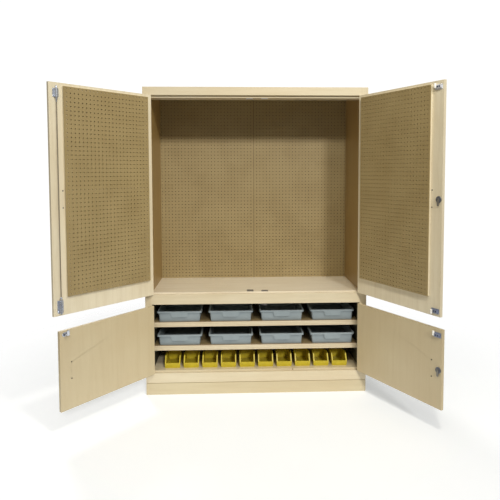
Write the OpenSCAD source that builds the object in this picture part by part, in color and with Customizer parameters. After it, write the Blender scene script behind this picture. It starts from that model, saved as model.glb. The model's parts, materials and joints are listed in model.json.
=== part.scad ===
// Tool storage cabinet with four hinged doors, pegboard linings, two tray shelves and a bin deck.
// Millimetres. X runs along the width, Y from the face frame to the back, Z up.
// The origin is the centre of the footprint, on the floor. The doors stand open at rest.

/* [Case] */
// Width over the side panels
case_w = 1524; // [1420:1:1800]
// Depth from the face frame to the back panel
case_d = 559; // [545:1:700]
// Thickness of the case boards
board_t = 19; // [16:0.5:22]
// Width of the face stiles
stile_w = 45; // [40:1:70]
// Thickness of the inner linings
lining_t = 12; // [9:0.5:14]
// Thickness of the battens between side panel and lining
batten_t = 14; // [10:0.5:20]
// Width of the battens between side panel and lining
batten_w = 40; // [30:1:60]
// Depth of the cleats between pegboard and back panel
cleat_d = 39; // [25:1:45]
// Width of the cleats behind the pegboard
cleat_w = 39; // [30:1:60]
// Thickness of the rear skin
back_t = 6; // [4:0.5:9]
// Glue line left between boards that share a group
joint_gap = 0.1; // [0.05:0.05:0.2]

/* [Levels] */
// Height of the plinth boards
plinth_h = 80; // [60:1:120]
// Height of the strips that lift the case off the plinth
spacer_h = 4; // [3:0.5:8]
// How far the strips are set back from the plinth's outside
spacer_inset = 4; // [3:0.5:8]
// Height of the bottom rail
bottom_rail_h = 67; // [60:1:90]
// Height of the rail between lower and upper doors
mid_rail_h = 70; // [60:1:90]
// Height of the crown rail over the upper doors
crown_h = 55; // [50:1:80]
// How far the bottom deck stands over the bottom rail
bottom_deck_reveal = 13; // [11:0.5:16]
// How far the work deck stands over the middle rail
work_deck_reveal = 10; // [8:0.5:14]
// How far the head stretcher hangs below the crown rail
stretcher_drop = 16; // [13:0.5:18]
// Depth of the head stretcher
stretcher_d = 96; // [80:1:140]

/* [Doors] */
// Height of the lower doors
lower_door_h = 473; // [465:1:520]
// Height of the upper doors
upper_door_h = 1345; // [1300:1:1500]
// Thickness of the door slabs
door_t = 19; // [17:0.5:21]
// Gap over and under each door
door_gap = 3; // [2:0.5:4]
// Gap between a pair of closed doors
centre_gap = 3; // [2:0.5:5]
// Gap between stile and door, which holds both hinge leaves
hinge_gap = 2; // [1.9:0.1:2.6]
// How far the closed doors stand proud of the face frame
door_proud = 0.3; // [0.2:0.05:0.4]
// Angle at which the upper left door stands open
upper_left_open = 133.35; // [0:0.05:175]
// Angle at which the upper right door stands open
upper_right_open = 117.15; // [0:0.05:175]
// Angle at which the lower left door stands open
lower_left_open = 129.1; // [0:0.05:175]
// Angle at which the lower right door stands open
lower_right_open = 118.8; // [0:0.05:175]

/* [Pegboard] */
// Thickness of the back pegboard
back_peg_t = 6; // [4:0.5:8]
// Seam between the two back sheets
peg_seam = 1; // [0.5:0.5:3]
// Thickness of the door pegboards
door_peg_t = 5; // [4:0.5:6]
// Distance from the hinge edge of the door to its pegboard
door_peg_inset = 37; // [30:1:80]
// Distance from the free edge of the door to its pegboard
door_peg_margin = 81.5; // [80:0.5:160]
// Distance from the top edge of the door to its pegboard
door_peg_drop = 19; // [17:1:60]
// Distance from the lower edge of the door to its pegboard
door_peg_rise = 109; // [60:1:300]
// Thickness of the strips that hold a pegboard off its door
strip_t = 12; // [9:0.5:13]
// Width of those strips
strip_w = 25; // [18:1:40]

/* [Shelves] */
// Set-back of the shelf nosings behind the face frame
shelf_setback = 60; // [50:1:64]
// Thickness of the nosings, front to back
nosing_t = 19; // [12:0.5:25]
// Height of the nosings
nosing_h = 33; // [25:1:40]
// Height of the lower shelf's top over the bottom deck
lower_shelf_rise = 158.5; // [150:0.5:165]
// Height of the upper shelf's top over the lower shelf's top
upper_shelf_rise = 166.5; // [160:0.5:175]
// Thickness of the strips under the shelf ends
shelf_cleat_t = 19; // [12:0.5:20]
// Height of those strips
shelf_cleat_h = 30; // [20:1:40]

/* [Trays] */
// Width of a tray over its rim
tray_w = 312; // [280:1:315]
// Depth of a tray over its rim
tray_d = 427; // [350:1:430]
// Height of a tray
tray_h = 76; // [60:1:90]
// Wall of a tray
tray_wall = 2.5; // [2:0.1:4]
// Width of the rim round a tray
tray_rim_w = 9; // [3:0.5:12]
// Height of the rim round a tray
tray_rim_h = 12; // [6:0.5:16]
// How much each side of a tray leans in towards its floor
tray_taper = 6; // [2:0.5:14]
// Width of the label flap where it meets the rim
flap_top_w = 122; // [80:1:140]
// Width of the label flap at its lower edge
flap_low_w = 105; // [60:1:120]
// Depth of the label flap below the tray's top
flap_h = 42; // [20:1:50]
// Thickness of the label flap
flap_t = 2.5; // [2:0.1:4]

/* [Bins] */
// Width of a bin over its flanges
bin_w = 107; // [90:1:124]
// Depth of a bin
bin_d = 187; // [150:1:300]
// Height of a bin
bin_h = 80; // [60:1:100]
// Height of a bin's front lip
bin_lip_h = 37; // [25:1:50]
// Distance from the lip back to where the sides are full height
bin_slope_d = 35; // [20:1:60]
// How far the front wall leans out from its foot to the lip
bin_lean = 6; // [0:0.5:12]
// Wall of a bin
bin_wall = 2.5; // [2:0.1:4]
// Width of the flange round the mouth of a bin
bin_flange = 5.5; // [1:0.5:7]
// Thickness of that flange
bin_flange_t = 3; // [2:0.5:5]
// Radius of the long bottom corners of a bin
bin_corner_r = 10; // [5:0.5:16]
// Spacing of the bins, centre to centre
bin_pitch = 130.6; // [128.5:0.1:135]
// Set-back of the bins behind the face frame
bin_setback = 54; // [45:1:80]

/* [Hinges] */
// Height of a hinge
hinge_h = 76; // [50:1:100]
// Depth of a hinge leaf, measured from the pin
leaf_d = 20; // [14:0.5:21]
// Thickness of a hinge leaf
leaf_t = 0.9; // [0.7:0.05:0.95]
// Distance of the hinge pins in front of the face frame
pivot_stand = 4; // [3.9:0.1:6]
// Radius of the hinge knuckles
knuckle_r = 3.4; // [2.8:0.1:3.5]
// Radius of the hinge pins
pin_r = 1.5; // [1.2:0.1:2]
// Radial running clearance of pins, rods and lock plugs
running_gap = 0.05; // [0.02:0.01:0.1]
// Gap between neighbouring knuckles
knuckle_gap = 0.3; // [0.2:0.05:0.5]
// Thickness of a hinge pin's head
pin_head_h = 2; // [1:0.5:4]
// Distance of the end hinges from the ends of an upper door
upper_hinge_end = 110; // [90:1:200]
// Distance of the end hinges from the ends of a lower door
lower_hinge_end = 75; // [60:1:120]

/* [Pulls] */
// Distance from a door's free edge to its pull
pull_margin = 73.5; // [69:0.5:75]
// Spacing of a pull's two screws
pull_pitch = 99; // [76:1:128]
// Radius of the pull's wire
pull_r = 4.5; // [4:0.5:6]
// Distance from the door's face to the wire's centre
pull_stand = 30; // [24:1:40]
// Height of the upper pulls over the upper doors' lower edge
upper_pull_z = 677; // [600:1:800]
// Height of the lower pulls over the lower doors' lower edge
lower_pull_z = 229; // [150:1:300]
// Radius of the pull screws
screw_r = 2; // [1.5:0.1:2.5]
// Radius of the pull screws' heads
screw_head_r = 4; // [3:0.5:6]
// Thickness of the pull screws' heads
screw_head_h = 1.6; // [1:0.1:3]
// Depth of the thread in a pull's foot
screw_grip = 12; // [8:1:18]

/* [Bolts] */
// Distance from the upper left door's free edge to the bolts' axis
bolt_margin = 41.5; // [24:0.5:45]
// Width of a bolt's base plate
bolt_plate_w = 38; // [30:1:40]
// Thickness of a bolt's base plate
bolt_plate_t = 3; // [2:0.5:4]
// Outer radius of a bolt's barrel
bolt_case_r = 9; // [8:0.5:10]
// Radius of a bolt
bolt_r = 5.5; // [4:0.5:6]
// Travel of a bolt
bolt_throw = 25; // [18:1:30]
// Height of the top bolt's case
top_case_h = 51; // [45:1:70]
// Height of the bottom bolt's case
bottom_case_h = 75; // [60:1:90]
// Distance from the door's top edge to the top case
top_case_drop = 34; // [30:1:45]
// Distance from the door's lower edge to the bottom case
bottom_case_rise = 16; // [15:1:24]
// Air left between a drawn bolt and the stretcher or deck
bolt_air = 4; // [2:0.5:6]
// Radius of the rod that reaches down from the top bolt
link_r = 3; // [2:0.5:4]
// Radius of the knob at the foot of that rod
link_knob_r = 7; // [5:0.5:9]
// Height of that knob
link_knob_h = 12; // [8:1:20]
// Radius of the bottom bolt's thumb pin
thumb_r = 3; // [2:0.5:4]
// How far the thumb pin stands out from the bolt's axis
thumb_reach = 16; // [12:1:22]

/* [Locks] */
// Distance from a right door's free edge to its lock
lock_margin = 24.5; // [20:0.5:33]
// Height of the upper lock over the upper door's lower edge
upper_lock_z = 674; // [600:1:800]
// Height of the lower lock over the lower door's lower edge
lower_lock_z = 231; // [150:1:300]
// Radius of a lock's barrel
lock_r = 9.5; // [8:0.5:12]
// Radius of a lock's nut behind the door
lock_nut_r = 19; // [14:0.5:22]
// Thickness of that nut
lock_nut_t = 6; // [4:0.5:8]
// Radius of a lock's collar on the outside
lock_collar_r = 13; // [11:0.5:16]
// Thickness of that collar
lock_collar_t = 3; // [2:0.5:5]
// Radius of the turning plug
plug_r = 4; // [3:0.5:6]
// Length of the cam from the plug's axis to its tip
cam_l = 37; // [35:0.5:40]
// Width of the cam
cam_w = 14; // [10:1:18]
// Thickness of the cam
cam_t = 2; // [1.5:0.5:3]

/* [Catches] */
// Distance from a right door's free edge to its catch studs
stud_margin = 56.5; // [50:0.5:60]
// Radius of a catch stud
stud_r = 7; // [5:0.5:8]
// Width of a catch's base plate
catch_plate_w = 55; // [45:1:60]
// Height of a catch's base plate
catch_plate_h = 30; // [24:1:36]
// Thickness of catch and strike plates
plate_t = 1.5; // [1:0.1:2]
// Length of a catch stud
stud_l = 27; // [20:1:30]
// Air between a catch stud and its strike
stud_air = 1; // [0.5:0.1:2]
// Thickness of a catch's body over its door
catch_body_t = 14; // [8:0.5:16]
// Length of the strikes under the stretcher and on the work deck
strike_l = 40; // [30:1:60]
// Width of those strikes
strike_w = 46; // [30:1:60]
// How far the lower right stud's strike hangs below the middle rail
strike_hang = 17; // [14:0.5:22]
// Height of the strikes' leaves on the back of the middle rail
strike_leaf_h = 32; // [20:1:45]
// Distance from the lower left door's free edge to the elbow catch
elbow_margin = 36.5; // [29:0.5:48]
// Width of the elbow catch's base
elbow_w = 40; // [30:1:50]
// Width of the elbow catch's lever
elbow_lever_w = 16; // [10:1:20]
// Drop of the elbow catch's pivot below the door's top edge
elbow_drop = 22; // [20:1:26]

/* [Hidden] */
trays_per_shelf = 4;
bin_count = 10;
knuckle_count = 5;
upper_trays = [for (i = [1:trays_per_shelf]) str("upper_tray_", i)];
lower_trays = [for (i = [1:trays_per_shelf]) str("lower_tray_", i)];
bins = [for (i = [1:bin_count]) str("bin_", i)];
$fn = 48;

// Levels, from the floor up
base_z = plinth_h + spacer_h;
bottom_rail_top = base_z + bottom_rail_h;
bottom_deck_top = bottom_rail_top + bottom_deck_reveal;
lower_door_z = bottom_rail_top + door_gap;
lower_door_top = lower_door_z + lower_door_h;
mid_rail_z = lower_door_top + door_gap;
mid_rail_top = mid_rail_z + mid_rail_h;
work_deck_top = mid_rail_top + work_deck_reveal;
work_deck_z = work_deck_top - board_t;
upper_door_z = mid_rail_top + door_gap;
upper_door_top = upper_door_z + upper_door_h;
crown_z = upper_door_top + door_gap;
case_h = crown_z + crown_h;
top_board_z = case_h - board_t;
stretcher_z = crown_z - stretcher_drop;
lower_shelf_top = bottom_deck_top + lower_shelf_rise;
upper_shelf_top = lower_shelf_top + upper_shelf_rise;

// Half widths, from the middle out
open_half = case_w / 2 - stile_w;
lining_half = open_half + lining_t;
batten_half = lining_half + batten_t;
side_t = case_w / 2 - batten_half;

// Depths behind the face frame
peg_back_y = case_d - back_t - cleat_d;
peg_y = peg_back_y - back_peg_t;
rear_y = case_d - back_t;

// Door geometry, measured from the hinge pin
pivot_x = open_half - hinge_gap / 2;
door_edge = hinge_gap / 2;
door_w = pivot_x - door_edge - centre_gap / 2;
door_out = pivot_stand - door_proud;
door_in = door_out + door_t;
door_peg_w = door_w - door_peg_inset - door_peg_margin;
door_peg_h = upper_door_h - door_peg_drop - door_peg_rise;
pull_s = door_w - pull_margin;
bolt_s = door_w - bolt_margin;
lock_s = door_w - lock_margin;
stud_s = door_w - stud_margin;
elbow_s = door_w - elbow_margin;
bolt_y = door_in + bolt_plate_t + bolt_case_r;
bolt_x = door_edge + bolt_s;
stud_back = 2;
screw_hole_r = screw_r + 0.4;
stud_y = door_in + plate_t + stud_r + stud_back;
upper_hinges = [
    upper_door_z + upper_hinge_end,
    upper_door_z + upper_door_h / 2,
    upper_door_top - upper_hinge_end
];
lower_hinges = [lower_door_z + lower_hinge_end, lower_door_top - lower_hinge_end];

// Bolt heights
top_case_z = upper_door_top - top_case_drop - top_case_h;
bottom_case_z = upper_door_z + bottom_case_rise;
top_tip_z = stretcher_z - plate_t - bolt_air;
bottom_tip_z = work_deck_top + bolt_air;
bottom_rod_top = bottom_case_z + bottom_case_h + bolt_air;
link_foot_z = bottom_rod_top + bolt_air;
thumb_z = bottom_case_z + bottom_case_h / 2 + bolt_throw / 2;
bolt_tip_h = 4;
bolt_tip_r = bolt_r - 2;
bolt_tail = 8;
bolt_cone_h = 14;
bolt_hole_r = bolt_r + 1.5;
strike_hole_r = bolt_r + 1;
strike_extra_l = 16;
strike_edge = 2.5;

// Elbow catch, in door coordinates
elbow_x = door_edge + elbow_s;
elbow_z = lower_door_top - elbow_drop;
elbow_pin_stand = 8;
elbow_pin_y = door_in + elbow_pin_stand;
elbow_arm_l = 24;
elbow_t = 3;
elbow_overlap = 4;
elbow_hook_top = mid_rail_z + elbow_overlap;
elbow_pin_r = 1.5;
elbow_lug_t = 2;
elbow_base_h = 24;
elbow_lug_h = 14;
elbow_lug_over = 4;
elbow_hook_air = 6;
strike_lip_y = elbow_pin_y - pivot_stand + elbow_arm_l - elbow_t - 2 * plate_t;

wood = [0.86, 0.78, 0.62];
wood_edge = [0.80, 0.69, 0.48];
dark_lining = [0.13, 0.13, 0.11];
hardboard = [0.58, 0.50, 0.33];
softwood = [0.82, 0.72, 0.52];
steel = [0.72, 0.73, 0.76];
dark_steel = [0.28, 0.29, 0.31];
tray_grey = [0.60, 0.64, 0.70];
bin_yellow = [0.85, 0.78, 0.16];

// ---------------------------------------------------------------- placing

// Y counts back from the face frame
module in_case() {
    translate([0, -case_d / 2, 0])
        children();
}

module both_sides() {
    children();
    mirror([1, 0, 0])
        children();
}

// A block between two opposite corners
module block(low, high) {
    translate(low)
        cube(high - low);
}

// X counts from the hinge pin along the door, Y from the pin into the case when the door is shut
module on_left_door(opened) {
    in_case()
        translate([-pivot_x, -pivot_stand, 0])
            rotate(-opened)
                children();
}

module on_right_door(opened) {
    mirror([1, 0, 0])
        on_left_door(opened)
            children();
}

// A cylinder whose axis runs along Y, from y0 to y1
module y_rod(r, y0, y1) {
    translate([0, y0, 0])
        rotate([-90, 0, 0])
            cylinder(r = r, h = y1 - y0);
}

// A cylinder whose axis runs along X, centred
module x_rod(r, length) {
    rotate([0, 90, 0])
        cylinder(r = r, h = length, center = true);
}

// A profile drawn as [y, z] and extruded along X, centred
module along_x(length) {
    rotate([90, 0, 90])
        linear_extrude(length, center = true)
            children();
}

// A profile drawn as [x, z] and extruded back along Y from y = 0
module along_y(length) {
    translate([0, length, 0])
        rotate([90, 0, 0])
            linear_extrude(length)
                children();
}

// ---------------------------------------------------------------- case

module plinth() {
    mid_w = 2 * board_t;
    color(wood) in_case() {
        block([-case_w / 2, 0, 0], [case_w / 2, board_t, plinth_h]);
        both_sides()
            block(
                [case_w / 2 - board_t, board_t + joint_gap, 0],
                [case_w / 2, case_d, plinth_h]
            );
        block(
            [-case_w / 2 + board_t + joint_gap, case_d - board_t, 0],
            [case_w / 2 - board_t - joint_gap, case_d, plinth_h]
        );
        block(
            [-mid_w / 2, board_t + joint_gap, 0],
            [mid_w / 2, case_d - board_t - joint_gap, plinth_h]
        );
        spacers(mid_w);
    }
}

// Thin strips, set back all round, that leave a shadow line over the plinth
module spacers(mid_w) {
    low = plinth_h + joint_gap;
    far_x = case_w / 2 - spacer_inset;
    front_y = spacer_inset;
    far_y = case_d - spacer_inset;
    block([-far_x, front_y, low], [far_x, front_y + board_t, base_z]);
    block([-far_x, far_y - board_t, low], [far_x, far_y, base_z]);
    both_sides()
        block(
            [far_x - board_t, front_y + board_t + joint_gap, low],
            [far_x, far_y - board_t - joint_gap, base_z]
        );
    block(
        [-mid_w / 2, front_y + board_t + joint_gap, low],
        [mid_w / 2, far_y - board_t - joint_gap, base_z]
    );
}

// Two stiles with three rails between them
module face_frame() {
    rail_half = open_half - joint_gap;
    color(wood) in_case() {
        both_sides()
            block([open_half, 0, base_z], [case_w / 2, board_t, case_h]);
        block([-rail_half, 0, base_z], [rail_half, board_t, bottom_rail_top]);
        block([-rail_half, 0, mid_rail_z], [rail_half, board_t, mid_rail_top]);
        block([-rail_half, 0, crown_z], [rail_half, board_t, case_h]);
    }
}

module case_sides() {
    color(wood) in_case()
        both_sides()
            block([batten_half, board_t, base_z], [batten_half + side_t, case_d, case_h]);
}

module upper_linings() {
    color(wood) in_case()
        both_sides()
            block([open_half, board_t, work_deck_top], [lining_half, peg_y, top_board_z]);
}

// Dark linings of the lower compartment, with the strips under the shelf ends
module lower_linings() {
    color(dark_lining) in_case() {
        both_sides() {
            block(
                [open_half, board_t, bottom_deck_top],
                [lining_half, peg_y - joint_gap, work_deck_z]
            );
            for (top = [lower_shelf_top, upper_shelf_top])
                shelf_cleat(top - board_t);
        }
        block(
            [-lining_half, peg_y, bottom_deck_top],
            [lining_half, peg_back_y, work_deck_z]
        );
    }
}

module shelf_cleat(top) {
    block(
        [open_half - shelf_cleat_t, shelf_setback + nosing_t + joint_gap, top - shelf_cleat_h],
        [open_half - joint_gap, peg_y - joint_gap, top]
    );
}

// Battens in the side walls, cleats behind the pegboard and bearers under the bottom deck
module battens() {
    side_starts = [board_t, (peg_y - batten_w) / 2, peg_y - batten_w];
    bearer_half = lining_half - joint_gap;
    bottom_deck_z = bottom_deck_top - board_t;
    cleat_xs = [(batten_half + cleat_w / 2) / 2, batten_half - cleat_w / 2];
    color(softwood) in_case() {
        both_sides() {
            for (y = side_starts)
                block(
                    [lining_half, y, base_z],
                    [batten_half, y + batten_w - joint_gap, top_board_z]
                );
            for (x = cleat_xs)
                back_cleat(x);
        }
        back_cleat(0);
        for (y = [(case_d - board_t) / 2, peg_y - board_t])
            block(
                [-bearer_half, y, base_z],
                [bearer_half, y + board_t, bottom_deck_z]
            );
    }
}

module back_cleat(x) {
    block(
        [x - cleat_w / 2, peg_back_y, base_z],
        [x + cleat_w / 2, rear_y, top_board_z]
    );
}

module bottom_deck() {
    color(wood) in_case()
        block(
            [-lining_half, board_t, bottom_deck_top - board_t],
            [lining_half, peg_back_y, bottom_deck_top]
        );
}

// The work deck, with the hole that the bottom bolt drops into
module work_deck() {
    color(wood) in_case()
        difference() {
            block([-lining_half, board_t, work_deck_z], [lining_half, peg_back_y, work_deck_top]);
            bolt_hole(work_deck_z);
        }
}

// The board that stops the upper doors, with the hole that the top bolt rises into
module head_stretcher() {
    color(wood) in_case()
        difference() {
            block(
                [-open_half, board_t, stretcher_z],
                [open_half, board_t + stretcher_d, stretcher_z + board_t]
            );
            bolt_hole(stretcher_z);
        }
}

module bolt_hole(z) {
    translate([bolt_x - pivot_x, bolt_y - pivot_stand, z - board_t])
        cylinder(r = bolt_hole_r, h = 3 * board_t);
}

module top_board() {
    color(wood) in_case()
        block([-batten_half, board_t, top_board_z], [batten_half, case_d, case_h]);
}

module back_pegboards() {
    color(hardboard) in_case()
        both_sides()
            block([peg_seam / 2, peg_y, work_deck_top], [lining_half, peg_back_y, top_board_z]);
}

module back_panel() {
    color(wood_edge) in_case()
        block([-batten_half, rear_y, base_z], [batten_half, case_d, top_board_z]);
}

module shelves() {
    color(wood) in_case()
        for (top = [lower_shelf_top, upper_shelf_top])
            block(
                [-open_half, shelf_setback + nosing_t, top - board_t],
                [open_half, peg_y, top]
            );
}

module shelf_nosings() {
    color(wood) in_case()
        for (top = [lower_shelf_top, upper_shelf_top])
            block(
                [-open_half, shelf_setback, top - nosing_h],
                [open_half, shelf_setback + nosing_t, top]
            );
}

// ---------------------------------------------------------------- doors

module door_slab(z, h) {
    block([door_edge, door_out, z], [door_edge + door_w, door_in, z + h]);
}

// Holes through a slab for the two screws of its pull
module pull_holes(z) {
    for (side = [-1, 1])
        translate([door_edge + pull_s, 0, z + side * pull_pitch / 2])
            y_rod(screw_hole_r, door_out - 1, door_in + 1);
}

module lock_hole(z) {
    translate([door_edge + lock_s, 0, z])
        y_rod(lock_r + joint_gap, door_out - 1, door_in + 1);
}

// The frame of strips that a door's pegboard is fixed to
module peg_strips() {
    x0 = door_edge + door_peg_inset;
    x1 = x0 + door_peg_w;
    z1 = upper_door_top - door_peg_drop;
    z0 = z1 - door_peg_h;
    y0 = door_in + joint_gap;
    y1 = door_in + strip_t;
    mid_z = (z0 + z1) / 2;
    for (x = [x0, x1 - strip_w])
        block([x, y0, z0], [x + strip_w, y1, z1]);
    for (z = [z0, mid_z - strip_w / 2, z1 - strip_w])
        block(
            [x0 + strip_w + joint_gap, y0, z],
            [x1 - strip_w - joint_gap, y1, z + strip_w]
        );
}

module door_pegboard() {
    x0 = door_edge + door_peg_inset;
    z1 = upper_door_top - door_peg_drop;
    color(hardboard)
        block(
            [x0, door_in + strip_t, z1 - door_peg_h],
            [x0 + door_peg_w, door_in + strip_t + door_peg_t, z1]
        );
}

module upper_left_door() {
    color(wood) on_left_door(upper_left_open) {
        difference() {
            door_slab(upper_door_z, upper_door_h);
            pull_holes(upper_door_z + upper_pull_z);
        }
        peg_strips();
    }
}

module upper_right_door() {
    color(wood) on_right_door(upper_right_open) {
        difference() {
            door_slab(upper_door_z, upper_door_h);
            pull_holes(upper_door_z + upper_pull_z);
            lock_hole(upper_door_z + upper_lock_z);
        }
        peg_strips();
    }
}

module lower_left_door() {
    color(wood) on_left_door(lower_left_open)
        difference() {
            door_slab(lower_door_z, lower_door_h);
            pull_holes(lower_door_z + lower_pull_z);
        }
}

module lower_right_door() {
    color(wood) on_right_door(lower_right_open)
        difference() {
            door_slab(lower_door_z, lower_door_h);
            pull_holes(lower_door_z + lower_pull_z);
            lock_hole(lower_door_z + lower_lock_z);
        }
}

// ---------------------------------------------------------------- hinges

knuckle_l = (hinge_h - (knuckle_count - 1) * knuckle_gap) / knuckle_count;
leaf_air = 0.2;
leaf_y = knuckle_r + leaf_air;

// One leaf of a butt hinge round the pin. side is -1 for the stile's leaf and 1 for the door's,
// first is the lowest knuckle that belongs to it.
module hinge_leaf(mid_z, side, first) {
    x0 = side < 0 ? -hinge_gap / 2 : hinge_gap / 2 - leaf_t;
    x1 = x0 + leaf_t;
    low = mid_z - hinge_h / 2;
    difference() {
        union() {
            block([x0, leaf_y, low], [x1, leaf_d, low + hinge_h]);
            for (i = [first:2:knuckle_count - 1])
                translate([0, 0, low + i * (knuckle_l + knuckle_gap)]) {
                    cylinder(r = knuckle_r, h = knuckle_l);
                    block([x0, 0, 0], [x1, leaf_y + 1, knuckle_l]);
                }
        }
        translate([0, 0, low - 1])
            cylinder(r = pin_r + running_gap, h = hinge_h + 2);
    }
}

module frame_hinge_leaves() {
    color(steel) both_sides()
        on_left_door(0)
            for (z = concat(upper_hinges, lower_hinges))
                hinge_leaf(z, -1, 0);
}

module hinge_pins() {
    color(steel) both_sides()
        on_left_door(0)
            for (z = concat(upper_hinges, lower_hinges))
                translate([0, 0, z - hinge_h / 2]) {
                    cylinder(r = pin_r, h = hinge_h + joint_gap);
                    translate([0, 0, hinge_h + joint_gap])
                        cylinder(r = knuckle_r, h = pin_head_h);
                }
}

module door_hinge_leaves(heights) {
    color(steel)
        for (z = heights)
            hinge_leaf(z, 1, 1);
}

// ---------------------------------------------------------------- pulls

// A bent wire pull on the outside, held by two screws from the inside
module door_pull(z) {
    bar_y = door_out - pull_stand;
    color(steel) translate([door_edge + pull_s, 0, z]) {
        difference() {
            union() {
                translate([0, bar_y, -pull_pitch / 2])
                    cylinder(r = pull_r, h = pull_pitch);
                for (side = [-1, 1])
                    translate([0, 0, side * pull_pitch / 2]) {
                        y_rod(pull_r, bar_y, door_out);
                        translate([0, bar_y, 0])
                            sphere(r = pull_r);
                    }
            }
            for (side = [-1, 1])
                translate([0, 0, side * pull_pitch / 2])
                    y_rod(screw_r + running_gap, door_out - screw_grip - 2, door_out + 1);
        }
        for (side = [-1, 1])
            translate([0, 0, side * pull_pitch / 2]) {
                y_rod(screw_r, door_out - screw_grip, door_in + joint_gap);
                y_rod(screw_head_r, door_in, door_in + screw_head_h);
            }
    }
}

// ---------------------------------------------------------------- bolts

module bolt_case(z, h) {
    difference() {
        union() {
            block(
                [bolt_x - bolt_plate_w / 2, door_in, z],
                [bolt_x + bolt_plate_w / 2, door_in + bolt_plate_t, z + h]
            );
            block([bolt_x - bolt_case_r, door_in, z], [bolt_x + bolt_case_r, bolt_y, z + h]);
            translate([bolt_x, bolt_y, z])
                cylinder(r = bolt_case_r, h = h);
        }
        translate([bolt_x, bolt_y, z - 1])
            cylinder(r = bolt_r + running_gap, h = h + 2);
    }
}

module bolt_cases() {
    thumb_air = 0.5;
    slot_r = thumb_r + thumb_air;
    color(steel) on_left_door(upper_left_open) {
        bolt_case(top_case_z, top_case_h);
        difference() {
            bolt_case(bottom_case_z, bottom_case_h);
            block(
                [bolt_x - slot_r, bolt_y, thumb_z - bolt_throw - slot_r],
                [bolt_x + slot_r, bolt_y + 2 * bolt_case_r, thumb_z + slot_r]
            );
        }
    }
}

// The top bolt and the long rod that works it from below
module top_bolt() {
    tail_z = top_case_z - bolt_tail;
    color(steel) on_left_door(upper_left_open) translate([bolt_x, bolt_y, 0]) {
        translate([0, 0, tail_z])
            cylinder(r = bolt_r, h = top_tip_z - bolt_tip_h - tail_z);
        translate([0, 0, top_tip_z - bolt_tip_h])
            cylinder(r1 = bolt_r, r2 = bolt_tip_r, h = bolt_tip_h);
        translate([0, 0, tail_z - bolt_cone_h])
            cylinder(r1 = link_r, r2 = bolt_r, h = bolt_cone_h);
        translate([0, 0, link_foot_z])
            cylinder(r = link_r, h = tail_z - link_foot_z - bolt_cone_h / 2);
        translate([0, 0, link_foot_z])
            cylinder(r = link_knob_r, h = link_knob_h);
    }
}

module bottom_bolt() {
    color(steel) on_left_door(upper_left_open) translate([bolt_x, bolt_y, 0]) {
        translate([0, 0, bottom_tip_z + bolt_tip_h])
            cylinder(r = bolt_r, h = bottom_rod_top - bottom_tip_z - bolt_tip_h);
        translate([0, 0, bottom_tip_z])
            cylinder(r1 = bolt_tip_r, r2 = bolt_r, h = bolt_tip_h);
        translate([0, 0, thumb_z])
            y_rod(thumb_r, 0, thumb_reach);
    }
}

// ---------------------------------------------------------------- locks

// The barrel through the door, its collar outside and its nut inside
module lock_case(z) {
    color(dark_steel) translate([door_edge + lock_s, 0, z])
        difference() {
            union() {
                y_rod(lock_collar_r, door_out - lock_collar_t, door_out);
                y_rod(lock_r, door_out - 1, door_in + lock_nut_t);
                y_rod(lock_nut_r, door_in, door_in + lock_nut_t);
            }
            y_rod(plug_r + running_gap, door_out - lock_collar_t - 1, door_in + lock_nut_t + 1);
        }
}

// The turning plug with its key slot, and the cam that hangs down when the lock is open
module lock_cam(z) {
    front = door_out - lock_collar_t;
    cam_y = door_in + lock_nut_t + knuckle_gap;
    slot_w = 1.2;
    slot_l = 2 * plug_r - 2;
    slot_depth = 4;
    head_r = plug_r + 1;
    head_h = 2;
    color(steel) translate([door_edge + lock_s, 0, z])
        difference() {
            union() {
                y_rod(plug_r, front, cam_y + cam_t);
                translate([0, cam_y, 0])
                    along_y(cam_t)
                        cam_outline();
                y_rod(head_r, cam_y + cam_t - knuckle_gap, cam_y + cam_t + head_h);
            }
            block([-slot_w / 2, front - 1, -slot_l / 2], [slot_w / 2, front + slot_depth, slot_l / 2]);
        }
}

module cam_outline() {
    circle(r = cam_w / 2);
    translate([0, -cam_l + cam_w / 2])
        circle(r = cam_w / 2);
    translate([-cam_w / 2, -cam_l + cam_w / 2])
        square([cam_w, cam_l - cam_w / 2]);
}

// ---------------------------------------------------------------- catches

// A stud on a base plate. up is 1 where the stud points up and -1 where it points down,
// end_z is the height of the stud's tip.
module stud_catch(end_z, up) {
    tip_over = 6;
    body_inset = 5;
    web_inset = 8;
    body_gap = 4;
    x0 = door_edge + stud_s - stud_r;
    body_x = x0 + 2 * stud_r + body_gap;
    plate_far = end_z - up * tip_over;
    plate_near = plate_far - up * catch_plate_h;
    z0 = min(plate_far, plate_near);
    z1 = z0 + catch_plate_h;
    body_w = catch_plate_w - 2 * stud_r - 2 * body_inset;
    stud_z = up > 0 ? end_z - stud_l : end_z;
    block([x0, door_in, z0], [x0 + catch_plate_w, door_in + plate_t, z1]);
    block(
        [body_x, door_in, z0 + body_inset],
        [body_x + body_w, door_in + catch_body_t, z1 - body_inset]
    );
    translate([x0 + stud_r, stud_y, stud_z])
        cylinder(r = stud_r, h = stud_l);
    block(
        [x0 + stud_r / 2, door_in, z0 + web_inset],
        [x0 + 1.5 * stud_r, stud_y, z1 - web_inset]
    );
}

module upper_right_catches() {
    color(steel) on_right_door(upper_right_open) {
        stud_catch(stretcher_z - plate_t - stud_air, 1);
        stud_catch(work_deck_top + plate_t + stud_air, -1);
    }
}

module lower_right_catch() {
    color(steel) on_right_door(lower_right_open)
        stud_catch(mid_rail_z - strike_hang - stud_air, 1);
}

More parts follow.
